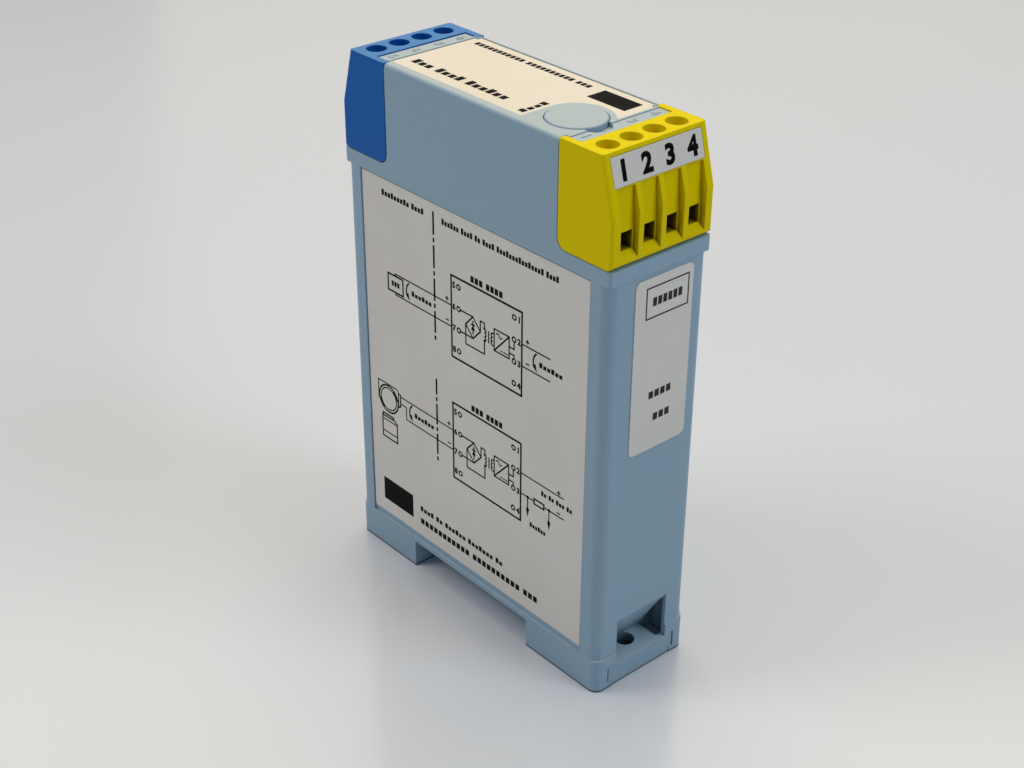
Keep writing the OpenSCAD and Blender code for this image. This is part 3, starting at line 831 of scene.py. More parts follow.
class Relief:
    """Thin solid shapes that lie on one face: ink, or raised figures. Places are millimetres on the face."""

    row_gap = 0.6
    block_share = 0.76
    arc_step = 15
    arc_least = 4
    dot_step = 30
    figure_steps = 3
    mitre_least = 0.3
    weld = 1e-4

    def __init__(self, height: float) -> None:
        """Starts an empty relief of that height."""
        self.height = height
        self.mesh = bmesh.new()

    def outline(self, points: Sequence[Point]) -> None:
        """Adds a filled shape.

        Args:
            points: Its corners, in order.
        """
        low = [self.mesh.verts.new((u, v, 0.0)) for u, v in points]
        high = [self.mesh.verts.new((u, v, self.height)) for u, v in points]
        self.mesh.faces.new(low[::-1])
        self.mesh.faces.new(high)
        for i, vertex in enumerate(low):
            j = (i + 1) % len(low)
            self.mesh.faces.new((vertex, low[j], high[j], high[i]))

    def block(self, left: float, low: float, right: float, high: float) -> None:
        """Adds a filled rectangle."""
        self.outline([(left, low), (right, low), (right, high), (left, high)])

    def stroke(self, points: Sequence[Point], width: float, closed: bool = False) -> None:
        """Adds a line with mitred corners.

        Args:
            points: The line's points.
            width: The line's width.
            closed: Whether its end joins its start.
        """
        path = [Vector(p) for p in points]
        rings = [self._cross_section(path, i, width, closed) for i in range(len(path))]
        count = len(rings) if closed else len(rings) - 1
        for i in range(count):
            here, there = rings[i], rings[(i + 1) % len(rings)]
            for k in range(4):
                n = (k + 1) % 4
                self.mesh.faces.new((here[k], there[k], there[n], here[n]))
        if not closed:
            self.mesh.faces.new(rings[0][::-1])
            self.mesh.faces.new(rings[-1])

    def frame(self, left: float, low: float, right: float, high: float, width: float) -> None:
        """Adds a rectangle's outline."""
        self.stroke([(left, low), (right, low), (right, high), (left, high)], width, closed=True)

    def arc(self, centre: Point, radius: float, start: float, end: float, width: float) -> None:
        """Adds a stretch of a circle.

        Args:
            centre: The circle's centre.
            radius: Its radius.
            start: The angle that it starts at, in degrees.
            end: The angle that it ends at. A whole turn closes it.
            width: The line's width.
        """
        steps = max(self.arc_least, math.ceil(abs(end - start) / self.arc_step))
        turns = [math.radians(start + (end - start) * i / steps) for i in range(steps + 1)]
        points = [(centre[0] + radius * math.cos(a), centre[1] + radius * math.sin(a)) for a in turns]
        whole = abs(end - start) >= 360
        self.stroke(points[:-1] if whole else points, width, closed=whole)

    def ring(self, centre: Point, radius: float, width: float) -> None:
        """Adds a circle's outline."""
        self.arc(centre, radius, 0, 360, width)

    def dashes(
        self, start: Point, end: Point, pattern: Sequence[float], width: float, skip: float = 0.0
    ) -> None:
        """Adds a broken line.

        Args:
            start: Where it starts.
            end: Where it ends.
            pattern: Lengths of a dash, a gap, a dash and so on, repeated.
            width: The line's width.
            skip: How much of the first dash is left out.
        """
        whole = Vector(end) - Vector(start)
        way = whole.normalized()
        at = 0.0
        stop = pattern[0] - skip
        index = 0
        while at < whole.length:
            stop = min(stop, whole.length)
            if index % 2 == 0:
                self.stroke([Vector(start) + way * at, Vector(start) + way * stop], width)
            index += 1
            at = stop
            stop = at + pattern[index % len(pattern)]

    def arrow(self, tip: Point, way: Point, length: float, width: float) -> None:
        """Adds a filled arrow head.

        Args:
            tip: Its point.
            way: The direction that it points in.
            length: Its length.
            width: Its width at the back.
        """
        forward = Vector(way).normalized()
        side = Vector((-forward.y, forward.x)) * width / 2
        back = Vector(tip) - forward * length
        self.outline([Vector(tip), back + side, back - side])

    def words(self, line: Line) -> None:
        """Adds rows of small upright blocks that stand for a line of small print.

        Args:
            line: The line.
        """
        gaps = (len(line.counts) - 1) * self.row_gap
        step = line.length / (sum(line.counts) + gaps - (1 - self.block_share))
        x, y = line.start
        tops = line.tops.value
        at = 0.0
        for count in line.counts:
            for i in range(count):
                tall = line.height * tops[i % len(tops)]
                far = at + step * self.block_share
                if line.up:
                    self.block(x - tall, y + at, x, y + far)
                else:
                    self.block(x + at, y, x + far, y + tall)
                at += step
            at += self.row_gap * step

    def figure(self, text: str, centre: Point, height: float, weight: float = 0.0) -> None:
        """Adds a plain figure.

        Args:
            text: The figure.
            centre: The middle of it.
            height: Its height.
            weight: How much its strokes are thickened on each side.
        """
        half_deep = 0.5
        curve = bpy.data.curves.new("figure", "FONT")
        curve.body = text
        curve.extrude = half_deep
        curve.resolution_u = self.figure_steps
        holder = bpy.data.objects.new("figure", curve)
        flat = bpy.data.meshes.new_from_object(holder)
        corners = [v.co for v in flat.vertices]
        low = Vector(min(c[k] for c in corners) for k in range(3))
        high = Vector(max(c[k] for c in corners) for k in range(3))
        size = height / (high.y - low.y)
        curve.offset = weight / size
        heavy = bpy.data.meshes.new_from_object(holder)
        heavy.transform(
            Matrix.Translation((*centre, 0.0))
            @ Matrix.Diagonal((size, size, self.height, 1.0))
            @ Matrix.Translation((-(low.x + high.x) / 2, -(low.y + high.y) / 2, half_deep))
        )
        self.mesh.from_mesh(heavy)
        bpy.data.objects.remove(holder)
        bpy.data.curves.remove(curve)
        for mesh in (flat, heavy):
            bpy.data.meshes.remove(mesh)

    def dot(self, centre: Point, radius: float) -> None:
        """Adds a filled circle."""
        turns = [math.radians(a) for a in range(0, 360, self.dot_step)]
        self.outline([(centre[0] + radius * math.cos(a), centre[1] + radius * math.sin(a)) for a in turns])

    def piece(self, name: str, face: Face, material: bpy.types.Material, body: str) -> bpy.types.Object:
        """Lays the relief on a face as one piece.

        Args:
            name: The piece's name.
            face: Where it lies.
            material: Its finish.
            body: The body that it rides on.

        Returns:
            The new object.
        """
        bmesh.ops.remove_doubles(self.mesh, verts=self.mesh.verts, dist=self.weld)
        bmesh.ops.recalc_face_normals(self.mesh, faces=self.mesh.faces)
        self.mesh.transform(face.matrix())
        return add_piece(name, self.mesh, material, body)

    def _cross_section(self, path: Sequence[Vector], i: int, width: float, closed: bool) -> list:
        """A line's cross section at one of its points, mitred between its neighbours.

        Args:
            path: The line's points.
            i: Which of them it is.
            width: The line's width.
            closed: Whether the line's end joins its start.

        Returns:
            The four corners.
        """
        last = len(path) - 1
        before = path[i] - path[i - 1] if i > 0 or closed else path[i + 1] - path[i]
        after = path[(i + 1) % len(path)] - path[i] if i < last or closed else before
        before = before.normalized()
        after = after.normalized()
        side = Vector((-before.y - after.y, before.x + after.x)).normalized()
        half = width / 2 / max(self.mitre_least, side.dot(Vector((-before.y, before.x))))
        left = path[i] + side * half
        right = path[i] - side * half
        high = self.height
        spots = ((left, 0.0), (left, high), (right, high), (right, 0.0))
        return [self.mesh.verts.new((p.x, p.y, z)) for p, z in spots]


@dataclass
class Case:
    """The lower case, the top cover, the latch and the fuse cap."""

    finishes: Finishes
    nodes: Sequence[str] = ("case_tub", "top_cover", "rail_latch", "fuse_cap")

    def dress(self) -> None:
        """Gives the mouldings their plastic."""
        for node in self.nodes:
            dress(node, self.finishes.case)


@dataclass
class ReturnSpring:
    """The latch's return spring, wound from one wire."""

    finishes: Finishes
    node: str = "latch_spring"
    joint: str = "latch_pull"
    wire: float = 0.4
    coils: int = 6
    steps: int = 24
    sides: int = 10

    def build(self) -> None:
        """Winds the coil in the place of its solid."""
        low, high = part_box(self.node)
        mesh = bmesh.new()
        rings = [self._ring(mesh, low, high, i) for i in range(self.coils * self.steps + 1)]
        for here, there in zip(rings, rings[1:]):
            for k in range(self.sides):
                n = (k + 1) % self.sides
                mesh.faces.new((here[k], there[k], there[n], here[n])).smooth = True
        mesh.faces.new(rings[0][::-1])
        mesh.faces.new(rings[-1])
        bmesh.ops.recalc_face_normals(mesh, faces=mesh.faces)
        made = add_piece("latch_spring_coil", mesh, self.finishes.spring, "case")
        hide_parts(self.node)
        keep = 1 - self._travel() / (high.x - low.x)
        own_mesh(made)

    def _ring(self, mesh: bmesh.types.BMesh, low: Vector, high: Vector, i: int) -> list:
        """Sets the wire's corners at one step along the coil.

        Args:
            mesh: The mesh that they go into.
            low: The lowest corner of the coil's box.
            high: The highest corner of the coil's box.
            i: The step.

        Returns:
            The corners.
        """
        wire_r = self.wire / 2 * MM
        coil_r = (high.z - low.z) / 2 - wire_r
        middle = (low + high) / 2
        turn = math.tau * i / self.steps
        x = low.x + wire_r + (high.x - low.x - 2 * wire_r) * i / (self.coils * self.steps)
        corners = []
        for k in range(self.sides):
            angle = math.tau * k / self.sides
            r = coil_r + wire_r * math.cos(angle)
            y = middle.y + r * math.cos(turn)
            z = middle.z + r * math.sin(turn)
            corners.append(mesh.verts.new((x + wire_r * math.sin(angle), y, z)))
        return corners

    def _travel(self) -> float:
        """How far the latch can be pulled, in metres."""
        joints = {joint["name"]: joint for joint in frame["record"]["behaviour"]["joints"]}
        return joints[self.joint]["range_m"][1]


class End(Enum):
    """The two ends of the module, with the first figure on each."""

    YELLOW = ("yellow", 1)
    BLUE = ("blue", 5)

    @property
    def colour(self) -> str:
        """The colour that the end's nodes are named by."""
        return self.value[0]

    @property
    def first(self) -> int:
        """The figure of the terminal nearest the labelled side."""
        return self.value[1]


@dataclass
class Terminals:
    """A terminal block with its screws, clamps and contacts, and the raised figures beside it."""

    finishes: Finishes
    end: End
    ways: int = 4
    figure_h: float = 2.0
    figure_rise: float = 0.12
    figure_in: float = 5.3

    def dress(self) -> None:
        """Gives the block its plastic and the terminals their metals."""
        plastic = self.finishes.yellow if self.end is End.YELLOW else self.finishes.blue
        dress(f"{self.end.colour}_terminal_block", plastic)
        dress(f"{self.end.colour}_contacts", self.finishes.brass)
        for way in range(1, self.ways + 1):
            dress(f"{self.end.colour}_screw_{way}", self.finishes.screw)
            dress(f"{self.end.colour}_cage_{way}", self.finishes.brass)

    def build(self) -> None:
        """Raises one plain figure on the cover beside each screw, except where the finger notch cuts in."""
        relief = Relief(self.figure_rise)
        inward = -1 if self.end is End.YELLOW else 1
        places = {}
        for way in range(1, self.ways + 1):
            low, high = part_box(f"{self.end.colour}_screw_{way}")
            middle = (low + high) / 2 / MM
            places[str(self.end.first + way - 1)] = (middle.x + inward * self.figure_in, middle.y)
        lowest = {figure: self._lowest(place) for figure, place in places.items()}
        strip = max(lowest.values())
        for figure, place in places.items():
            if strip - lowest[figure] < self.figure_rise * MM:
                relief.figure(figure, place, self.figure_h)
        face = Face(Vector((0, 0, strip)), Vector((1, 0, 0)), Vector((0, 1, 0)))
        made = relief.piece(f"{self.end.colour}_figures", face, self.finishes.case, "case")

    def _lowest(self, place: Point) -> float:
        """Height of the cover's lowest spot under a figure, in metres."""
        reach = (-self.figure_h / 2, 0.0, self.figure_h / 2)
        spots = [((place[0] + x / 2) * MM, (place[1] + y) * MM) for x in reach for y in reach]
        return min(height_at("top_cover", *spot) for spot in spots)


@dataclass
class Electronics:
    """The boards, the transformer, the parts on the boards and the fuse."""

    finishes: Finishes

    def dress(self) -> None:
        """Gives each inner part its finish."""
        worn = {
            "connection_board": self.finishes.board,
            "main_board": self.finishes.board,
            "transformer_core": self.finishes.ferrite,
            "transformer_winding": self.finishes.winding,
            "capacitors": self.finishes.sleeve,
            "chips": self.finishes.black,
            "fuse": self.finishes.fuse,
            "fuse_socket": self.finishes.black,
        }
        for node, material in worn.items():
            dress(node, material)


@dataclass(frozen=True)
class Circuit:
    """One printed circuit: a box with numbered terminals, a rectifier, a transformer and a converter."""

    left: float
    low: float
    width: float = 20.7
    height: float = 17.9
    ways: int = 4
    first: float = 1.9
    pitch: float = 4.7
    inset: float = 2.2
    terminal_r: float = 0.5
    figure_in: float = 0.78
    figure_h: float = 1.25
    figure_weight: float = 0.085
    frame_line: float = 0.45
    line: float = 0.33
    rectifier_x: float = 6.5
    rectifier_w: float = 4.4
    loop_drop: float = 2.05
    diode_reach: float = 1.5
    diode_size: float = 1.2
    coil_x: float = 9.9
    coil_low: float = 0.9
    coil_high: float = 1.2
    coil_bumps: int = 3
    core_x: float = 11.15
    second_x: float = 12.3
    converter_x: Span = (12.75, 17.1)
    sign_line: float = 0.264
    sign_in: float = 1.05
    wave_r: float = 0.4
    dash_in: float = 1.9
    dash: float = 0.56
    dash_pitch: float = 0.784
    dash_count: int = 3
    out_drop: Span = (2.1, 1.3)
    name_x: float = 5.85
    name_up: float = 0.72
    name_blocks: Sequence[int] = (3, 4)
    name_length: float = 9.3
    name_h: float = 1.3

    @property
    def right(self) -> float:
        """The box's right edge."""
        return self.left + self.width

    @property
    def right_terminal(self) -> float:
        """Where the right hand terminals stand."""
        return self.right - self.inset

    def row(self, i: int) -> float:
        """Height of a terminal, counted from the lowest."""
        return self.low + self.first + i * self.pitch

    def draw(self, ink: Relief) -> None:
        """Prints the box and what is in it.

        Args:
            ink: The relief that it goes into.
        """
        ink.frame(self.left, self.low, self.right, self.low + self.height, self.frame_line)
        name = (self.left + self.name_x, self.low + self.height + self.name_up)
        ink.words(Line(name, self.name_blocks, self.name_length, self.name_h, Tops.EVEN))
        for i in range(self.ways):
            for x, figure_x, highest in (
                (self.left + self.inset, self.left + self.figure_in, 2 * self.ways),
                (self.right_terminal, self.right - self.figure_in, self.ways),
            ):
                ink.ring((x, self.row(i)), self.terminal_r, self.line)
                ink.figure(str(highest - i), (figure_x, self.row(i)), self.figure_h, self.figure_weight)
        self._rectifier(ink)
        self._transformer(ink)
        self._converter(ink)

    def _rectifier(self, ink: Relief) -> None:
        """Prints the diamond with its diode, and its leads.

        Args:
            ink: The relief that it goes into.
        """
        x = self.left + self.rectifier_x
        half = self.rectifier_w / 2
        high, low = self.row(2), self.row(1)
        middle = (high + low) / 2
        start = self.left + self.inset + self.terminal_r
        coil = self.left + self.coil_x
        ink.stroke([(x, high), (x + half, middle), (x, low), (x - half, middle)], self.line, closed=True)
        for y in (high, low):
            ink.stroke([(start, y), (x, y)], self.line)
        for side, level, end in (
            (x - half, low - self.loop_drop, low + self.coil_low),
            (x + half, high, high - self.coil_high),
        ):
            ink.stroke([(side, middle), (side, level), (coil, level), (coil, end)], self.line)
        self._diode(ink, (x, middle))

    def _diode(self, ink: Relief, centre: Point) -> None:
        """Prints an upright diode with short leads.

        Args:
            ink: The relief that it goes into.
            centre: The diode's middle.
        """
        x, y = centre
        half = self.diode_size / 2
        ink.stroke([(x, y - self.diode_reach), (x, y + self.diode_reach)], self.line)
        ink.arrow((x, y + half), (0, 1), self.diode_size, self.diode_size)
        ink.stroke([(x - half, y + half), (x + half, y + half)], self.line)

    def _transformer(self, ink: Relief) -> None:
        """Prints two windings with a core between them.

        Args:
            ink: The relief that it goes into.
        """
        high, low = self.row(2) - self.coil_high, self.row(1) + self.coil_low
        r = (high - low) / self.coil_bumps / 2
        for i in range(self.coil_bumps):
            y = low + r * (2 * i + 1)
            ink.arc((self.left + self.coil_x, y), r, -90, 90, self.line)
            ink.arc((self.left + self.second_x, y), r, 90, 270, self.line)
        for y in (high, low):
            ink.dot((self.left + self.coil_x, y), self.line)
            ends = [(self.left + x, y) for x in (self.second_x, self.converter_x[0])]
            ink.stroke(ends, self.line)
        ink.stroke([(self.left + self.core_x, low), (self.left + self.core_x, high)], self.line)

    def _converter(self, ink: Relief) -> None:
        """Prints a square with its diagonal and two signs, and its leads to two terminals.

        Args:
            ink: The relief that it goes into.
        """
        left, right = (self.left + x for x in self.converter_x)
        low, high = self.row(1), self.row(2)
        ink.frame(left, low, right, high, self.line)
        ink.stroke([(left, low), (right, high)], self.line)
        wave_x, wave_y = left + self.sign_in, high - self.sign_in
        ink.arc((wave_x, wave_y), self.wave_r, 0, 180, self.sign_line)
        ink.arc((wave_x + 2 * self.wave_r, wave_y), self.wave_r, 180, 360, self.sign_line)
        dash_y = low + self.sign_in - self.wave_r
        for i in range(self.dash_count):
            x = left + self.dash_in + i * self.dash_pitch
            ink.stroke([(x, dash_y), (x + self.dash, dash_y)], self.sign_line)
        terminal = self.right_terminal
        for y, way, drop in ((high, -1, self.out_drop[0]), (low, 1, self.out_drop[1])):
            near = y + way * drop
            ink.stroke([(right, near), (terminal, near), (terminal, y + way * self.terminal_r)], self.line)


@dataclass(frozen=True)
class Wiring:
    """The outside wiring of one circuit, on the leads of its two middle terminals."""

    circuit: Circuit
    lead: float = 0.29
    bold: float = 0.377
    small_h: float = 1.1
    sign_arm: float = 0.5
    sign_rise: float = 1.0
    mark_head: float = 1.7
    mark_head_w: float = 1.0
    mark_bulge: float = 0.95
    mark_clear: float = 0.4
    mark_tip: float = 0.1
    mark_cut: float = 20.0
    value_in: float = 0.75
    value_blocks: Sequence[int] = (6,)
    value_length: float = 6.3

    @property
    def high(self) -> float:
        """Height of the upper lead."""
        return self.circuit.row(2)

    @property
    def low(self) -> float:
        """Height of the lower lead."""
        return self.circuit.row(1)

    @property
    def middle(self) -> float:
        """Height half way between the leads."""
        return (self.high + self.low) / 2

    def current_mark(self, ink: Relief, x: float) -> None:
        """Prints a bent arrow from lead to lead, with a row of blocks for its value beside it.

        Args:
            ink: The relief that it goes into.
            x: The arrow's left edge.
        """
        half = (self.high - self.low) / 2 - self.mark_clear
        r = (half ** 2 + self.mark_bulge ** 2) / (2 * self.mark_bulge)
        swing = math.degrees(math.asin(half / r))
        ink.arc((x + r, self.middle), r, 180 - swing, 180 + swing - self.mark_cut, self.bold)
        tip = (x + self.mark_bulge + self.mark_tip, self.low + self.mark_clear - self.mark_tip)
        ink.arrow(tip, (self.mark_bulge, -self.mark_head), self.mark_head, self.mark_head_w)
        start = (x + self.mark_bulge + self.value_in, self.middle - self.small_h / 2)
        ink.words(Line(start, self.value_blocks, self.value_length, self.small_h))

    def signs(self, ink: Relief, x: float, drop: float = 0.0) -> None:
        """Prints a plus sign over the upper lead and a minus sign over the lower one.

        Args:
            ink: The relief that they go into.
            x: The signs' middle.
            drop: How much lower than usual they are.
        """
        plus, minus = (y + self.sign_rise - drop for y in (self.high, self.low))
        for y in (plus, minus):
            ink.stroke([(x - self.sign_arm, y), (x + self.sign_arm, y)], self.lead)
        ink.stroke([(x, plus - self.sign_arm), (x, plus + self.sign_arm)], self.lead)


@dataclass(frozen=True)
class SupplyWiring(Wiring):
    """Two leads to a small box at the left of the upper circuit."""

    box_left: float = 7.45
    box_right: float = 12.3
    box_clear: float = 0.5
    box_line: float = 0.406
    tap: float = 9.85
    name_in: float = 1.15
    name_blocks: Sequence[int] = (3,)
    name_length: float = 2.5
    mark_x: float = 13.4
    signs_out: float = 1.35

    def draw(self, ink: Relief) -> None:
        """Prints the box, the leads and their marks.

        Args:
            ink: The relief that they go into.
        """
        high, low = self.high - self.box_clear, self.low + self.box_clear
        ink.frame(self.box_left, low, self.box_right, high, self.box_line)
        start = (self.box_left + self.name_in, self.middle - self.small_h / 2)
        ink.words(Line(start, self.name_blocks, self.name_length, self.small_h, Tops.EVEN))
        for y, edge in ((self.high, high), (self.low, low)):
            ink.stroke([(self.tap, edge), (self.tap, y), (self.circuit.left, y)], self.lead)
        self.current_mark(ink, self.mark_x)
        self.signs(ink, self.circuit.left - self.signs_out)


@dataclass(frozen=True)
class OutputWiring(Wiring):
    """Two open leads at the right of the upper circuit."""

    end: float = 56.35
    mark_x: float = 51.6
    signs_out: float = 1.6

    def draw(self, ink: Relief) -> None:
        """Prints the leads and their marks.

        Args:
            ink: The relief that they go into.
        """
        for y in (self.high, self.low):
            ink.stroke([(self.circuit.right, y), (self.end, y)], self.lead)
        self.current_mark(ink, self.mark_x)
        self.signs(ink, self.circuit.right + self.signs_out)


@dataclass(frozen=True)
class ProcessBox:
    """The box under a sensor head, with its neck and two cross lines."""

    left: float = 3.75
    right: float = 8.75
    low: float = 20.7
    high: float = 25.9
    shoulder: float = 0.4
    neck_left: float = 3.95
    neck_right: float = 7.65
    neck_foot: float = 26.0
    neck_top: float = 26.55
    cross_lines: Sequence[float] = (22.15, 25.1)

    def draw(self, ink: Relief, lead: float, bold: float) -> None:
        """Prints the box.

        Args:
            ink: The relief that it goes into.
            lead: The width of its cross lines.
            bold: The width of its outline.
        """
        outline = [
            (self.left, self.low),
            (self.right, self.low),
            (self.right, self.high - self.shoulder),
            (self.neck_right, self.neck_foot),
            (self.left, self.high),
        ]
        ink.stroke(outline, bold, closed=True)
        neck = [
            (self.neck_left, self.high),
            (self.neck_left, self.neck_top),
            (self.neck_right, self.neck_top),
            (self.neck_right, self.high),
        ]
        ink.stroke(neck, bold)
        for y in self.cross_lines:
            ink.stroke([(self.left, y), (self.right, y)], lead)


@dataclass(frozen=True)
class SensorWiring(Wiring):
    """A round sensor head on its process box, with two leads to the lower circuit."""

    head: Point = (6.15, 30.65)
    head_r: float = 3.25
    rim: float = 0.62
    shade_in: float = 0.32
    shade_line: float = 0.4
    shades: Sequence[Span] = ((12, 58), (192, 238))
    housing_left: float = 2.7
    housing_right: float = 9.55
    housing_top: float = 34.25
    housing_drop: float = 1.0
    housing_cut: float = 0.5
    gland: Sequence[Point] = ((9.55, 33.55), (10.3, 33.4), (10.25, 30.6), (9.35, 30.1))
    lead_start: float = 10.3
    lower_start: float = 31.3
    lower_bend: float = 12.2
    mark_x: float = 13.3
    signs_out: float = 1.35

    def draw(self, ink: Relief) -> None:
        """Prints the sensor, the leads and their marks.

        Args:
            ink: The relief that they go into.
        """
        self._head(ink)
        ProcessBox().draw(ink, self.lead, self.bold)
        start, end = self.lead_start, self.circuit.left
        bend, level = self.lower_bend, self.lower_start
        ink.stroke([(start, self.high), (end, self.high)], self.lead)
        ink.stroke([(start, level), (bend, level), (bend, self.low), (end, self.low)], self.lead)
        self.current_mark(ink, self.mark_x)
        self.signs(ink, end - self.signs_out)

    def _head(self, ink: Relief) -> None:
        """Prints the round head, its housing and its cable gland.

        Args:
            ink: The relief that they go into.
        """
        ink.ring(self.head, self.head_r, self.bold)
        ink.ring(self.head, self.head_r - self.rim, self.lead)
        for start, end in self.shades:
            ink.arc(self.head, self.head_r - self.shade_in, start, end, self.shade_line)
        right, top = self.housing_right, self.housing_top
        housing = [
            (self.housing_left, self.head[1] - self.housing_drop),
            (self.housing_left, top),
            (right - self.housing_cut, top),
            (right, top - self.housing_cut),
            (right, self.head[1]),
        ]
        ink.stroke(housing, self.lead)
        ink.stroke(self.gland, self.bold)


@dataclass(frozen=True)
class MeasuredWiring(Wiring):
    """Two leads at the right of the lower circuit, with a resistor and two taps in one of them."""

    end: float = 60.85
    resistor: Span = (52.35, 55.2)
    resistor_h: float = 1.15
    taps: Sequence[float] = (50.5, 56.7)
    tap_drop: float = 4.6
    tap_head: float = 2.0
    tap_head_w: float = 1.0
    supply_start: Point = (54.4, 2.4)
    supply_blocks: Sequence[int] = (2, 2, 3, 2)
    supply_length: float = 8.65
    signal_start: Point = (51.2, -6.55)
    signal_blocks: Sequence[int] = (6,)
    signal_length: float = 4.55
    signs_x: float = 59.35
    signs_drop: float = 0.3

    def draw(self, ink: Relief) -> None:
        """Prints the leads, the resistor, the taps and the blocks beside them.

        Args:
            ink: The relief that they go into.
        """
        start, low = self.circuit.right, self.low
        near, far = self.resistor
        for left, right, y in ((start, self.end, self.high), (start, near, low), (far, self.end, low)):
            ink.stroke([(left, y), (right, y)], self.lead)
        ink.frame(near, low - self.resistor_h / 2, far, low + self.resistor_h / 2, self.bold)
        tip = low - self.tap_drop
        for x in self.taps:
            ink.dot((x, low), self.bold)
            ink.stroke([(x, low), (x, tip + self.tap_head / 2)], self.lead)
            ink.arrow((x, tip), (0, -1), self.tap_head, self.tap_head_w)
        for (x, rise), blocks, length in (
            (self.supply_start, self.supply_blocks, self.supply_length),
            (self.signal_start, self.signal_blocks, self.signal_length),
        ):
            ink.words(Line((x, low + rise), blocks, length, self.small_h))
        self.signs(ink, self.signs_x, self.signs_drop)


@dataclass
class SideLabel:
    """The large label with two printed circuits, their outside wiring, small print and a solid block."""

    finishes: Finishes
    print_h: float = 81.4
    film: float = 0.02
    circuit_left: float = 27.7
    circuit_low: Span = (50.3, 21.7)
    divider_x: float = 22.5
    divider_upper: Span = (79.7, 51.3)
    divider_lower: Span = (42.8, 22.7)
    divider_skip: float = 1.2
    divider_line: float = 0.52
    divider_pattern: Sequence[float] = (4.9, 0.65, 0.95, 0.65)
    solid_low: Point = (3.4, 4.2)
    solid_high: Point = (13.6, 9.9)
    lines: Sequence[Line] = (
        Line((6.3, 77.9), (9, 4), length=13.2, height=1.25),
        Line((25.1, 77.9), (6, 4, 2, 4, 15, 4), length=33.0, height=1.25),
        Line((16.2, 7.3), (4, 2, 6, 7, 2), length=26.7, height=1.25),
        Line((16.2, 4.05), (11, 10, 3), length=37.4, height=1.35, tops=Tops.EVEN),
    )

    def dress(self) -> None:
        """Gives the label its stock."""
        dress("side_label", self.finishes.label)

    def build(self) -> None:
        """Prints the label."""
        low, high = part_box("side_label")
        ink = Relief(self.film)
        upper, lower = (Circuit(self.circuit_left, z) for z in self.circuit_low)
        for circuit in (upper, lower):
            circuit.draw(ink)
        self._dividers(ink)
        for wiring in (SupplyWiring(upper), OutputWiring(upper), SensorWiring(lower), MeasuredWiring(lower)):
            wiring.draw(ink)
        ink.block(*self.solid_low, *self.solid_high)
        for line in self.lines:
            ink.words(line)
        corner = Vector((low.x, low.y, high.z - self.print_h * MM))
        face = Face(corner, Vector((1, 0, 0)), Vector((0, 0, 1)))
        ink.piece("side_label_print", face, self.finishes.ink, "case")

    def _dividers(self, ink: Relief) -> None:
        """Prints the broken line between the two sides of the wiring.

        Args:
            ink: The relief that it goes into.
        """
        for (high, low), skip in ((self.divider_upper, 0.0), (self.divider_lower, self.divider_skip)):
            ends = ((self.divider_x, high), (self.divider_x, low))
            ink.dashes(*ends, self.divider_pattern, self.divider_line, skip)


@dataclass
class EndLabel:
    """The upright label on the yellow end, with a stamped frame round one line and two short lines below."""

    finishes: Finishes
    film: float = 0.02
    stamp_low: Point = (2.8, 28.0)
    stamp_high: Point = (13.4, 34.1)
    stamp_line: float = 0.3
    lines: Sequence[Line] = (
        Line((4.4, 30.2), (6,), length=7.4, height=1.7, tops=Tops.EVEN),
        Line((4.5, 11.0), (4,), length=5.7, height=1.5, tops=Tops.EVEN),
        Line((5.9, 6.0), (3,), length=4.2, height=1.5, tops=Tops.EVEN),
    )

    def dress(self) -> None:
        """Gives the label its stock."""
        dress("end_label", self.finishes.label)

    def build(self) -> None:
        """Prints the label."""
        low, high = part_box("end_label")
        ink = Relief(self.film)
        ink.frame(*self.stamp_low, *self.stamp_high, self.stamp_line)
        for line in self.lines:
            ink.words(line)
        face = Face(Vector((high.x, low.y, low.z)), Vector((0, 1, 0)), Vector((0, 0, 1)))
        ink.piece("end_label_print", face, self.finishes.stamp_ink, "case")


@dataclass
class TopLabel:
    """The label on the cover, with lines of small print and a solid block."""

    finishes: Finishes
    film: float = 0.02
    solid_low: Point = (37.7, 15.3)
    solid_high: Point = (47.4, 20.0)
    lines: Sequence[Line] = (
        Line((2.4, 2.8), (3, 4, 6), length=26.8, height=2.1),
        Line((2.3, 18.5), (11, 10, 3), length=32.4, height=1.35, tops=Tops.EVEN),
        Line((36.2, 1.3), (4,), length=6.4, height=1.5, up=True),
    )

    def dress(self) -> None:
        """Gives the label its stock."""
        dress("top_label", self.finishes.top_label)

    def build(self) -> None:
        """Prints the label."""
        low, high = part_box("top_label")
        ink = Relief(self.film)
        ink.block(*self.solid_low, *self.solid_high)
        for line in self.lines:
            ink.words(line)
        face = Face(Vector((low.x, low.y, high.z)), Vector((1, 0, 0)), Vector((0, 1, 0)))
        ink.piece("top_label_print", face, self.finishes.ink, "case")


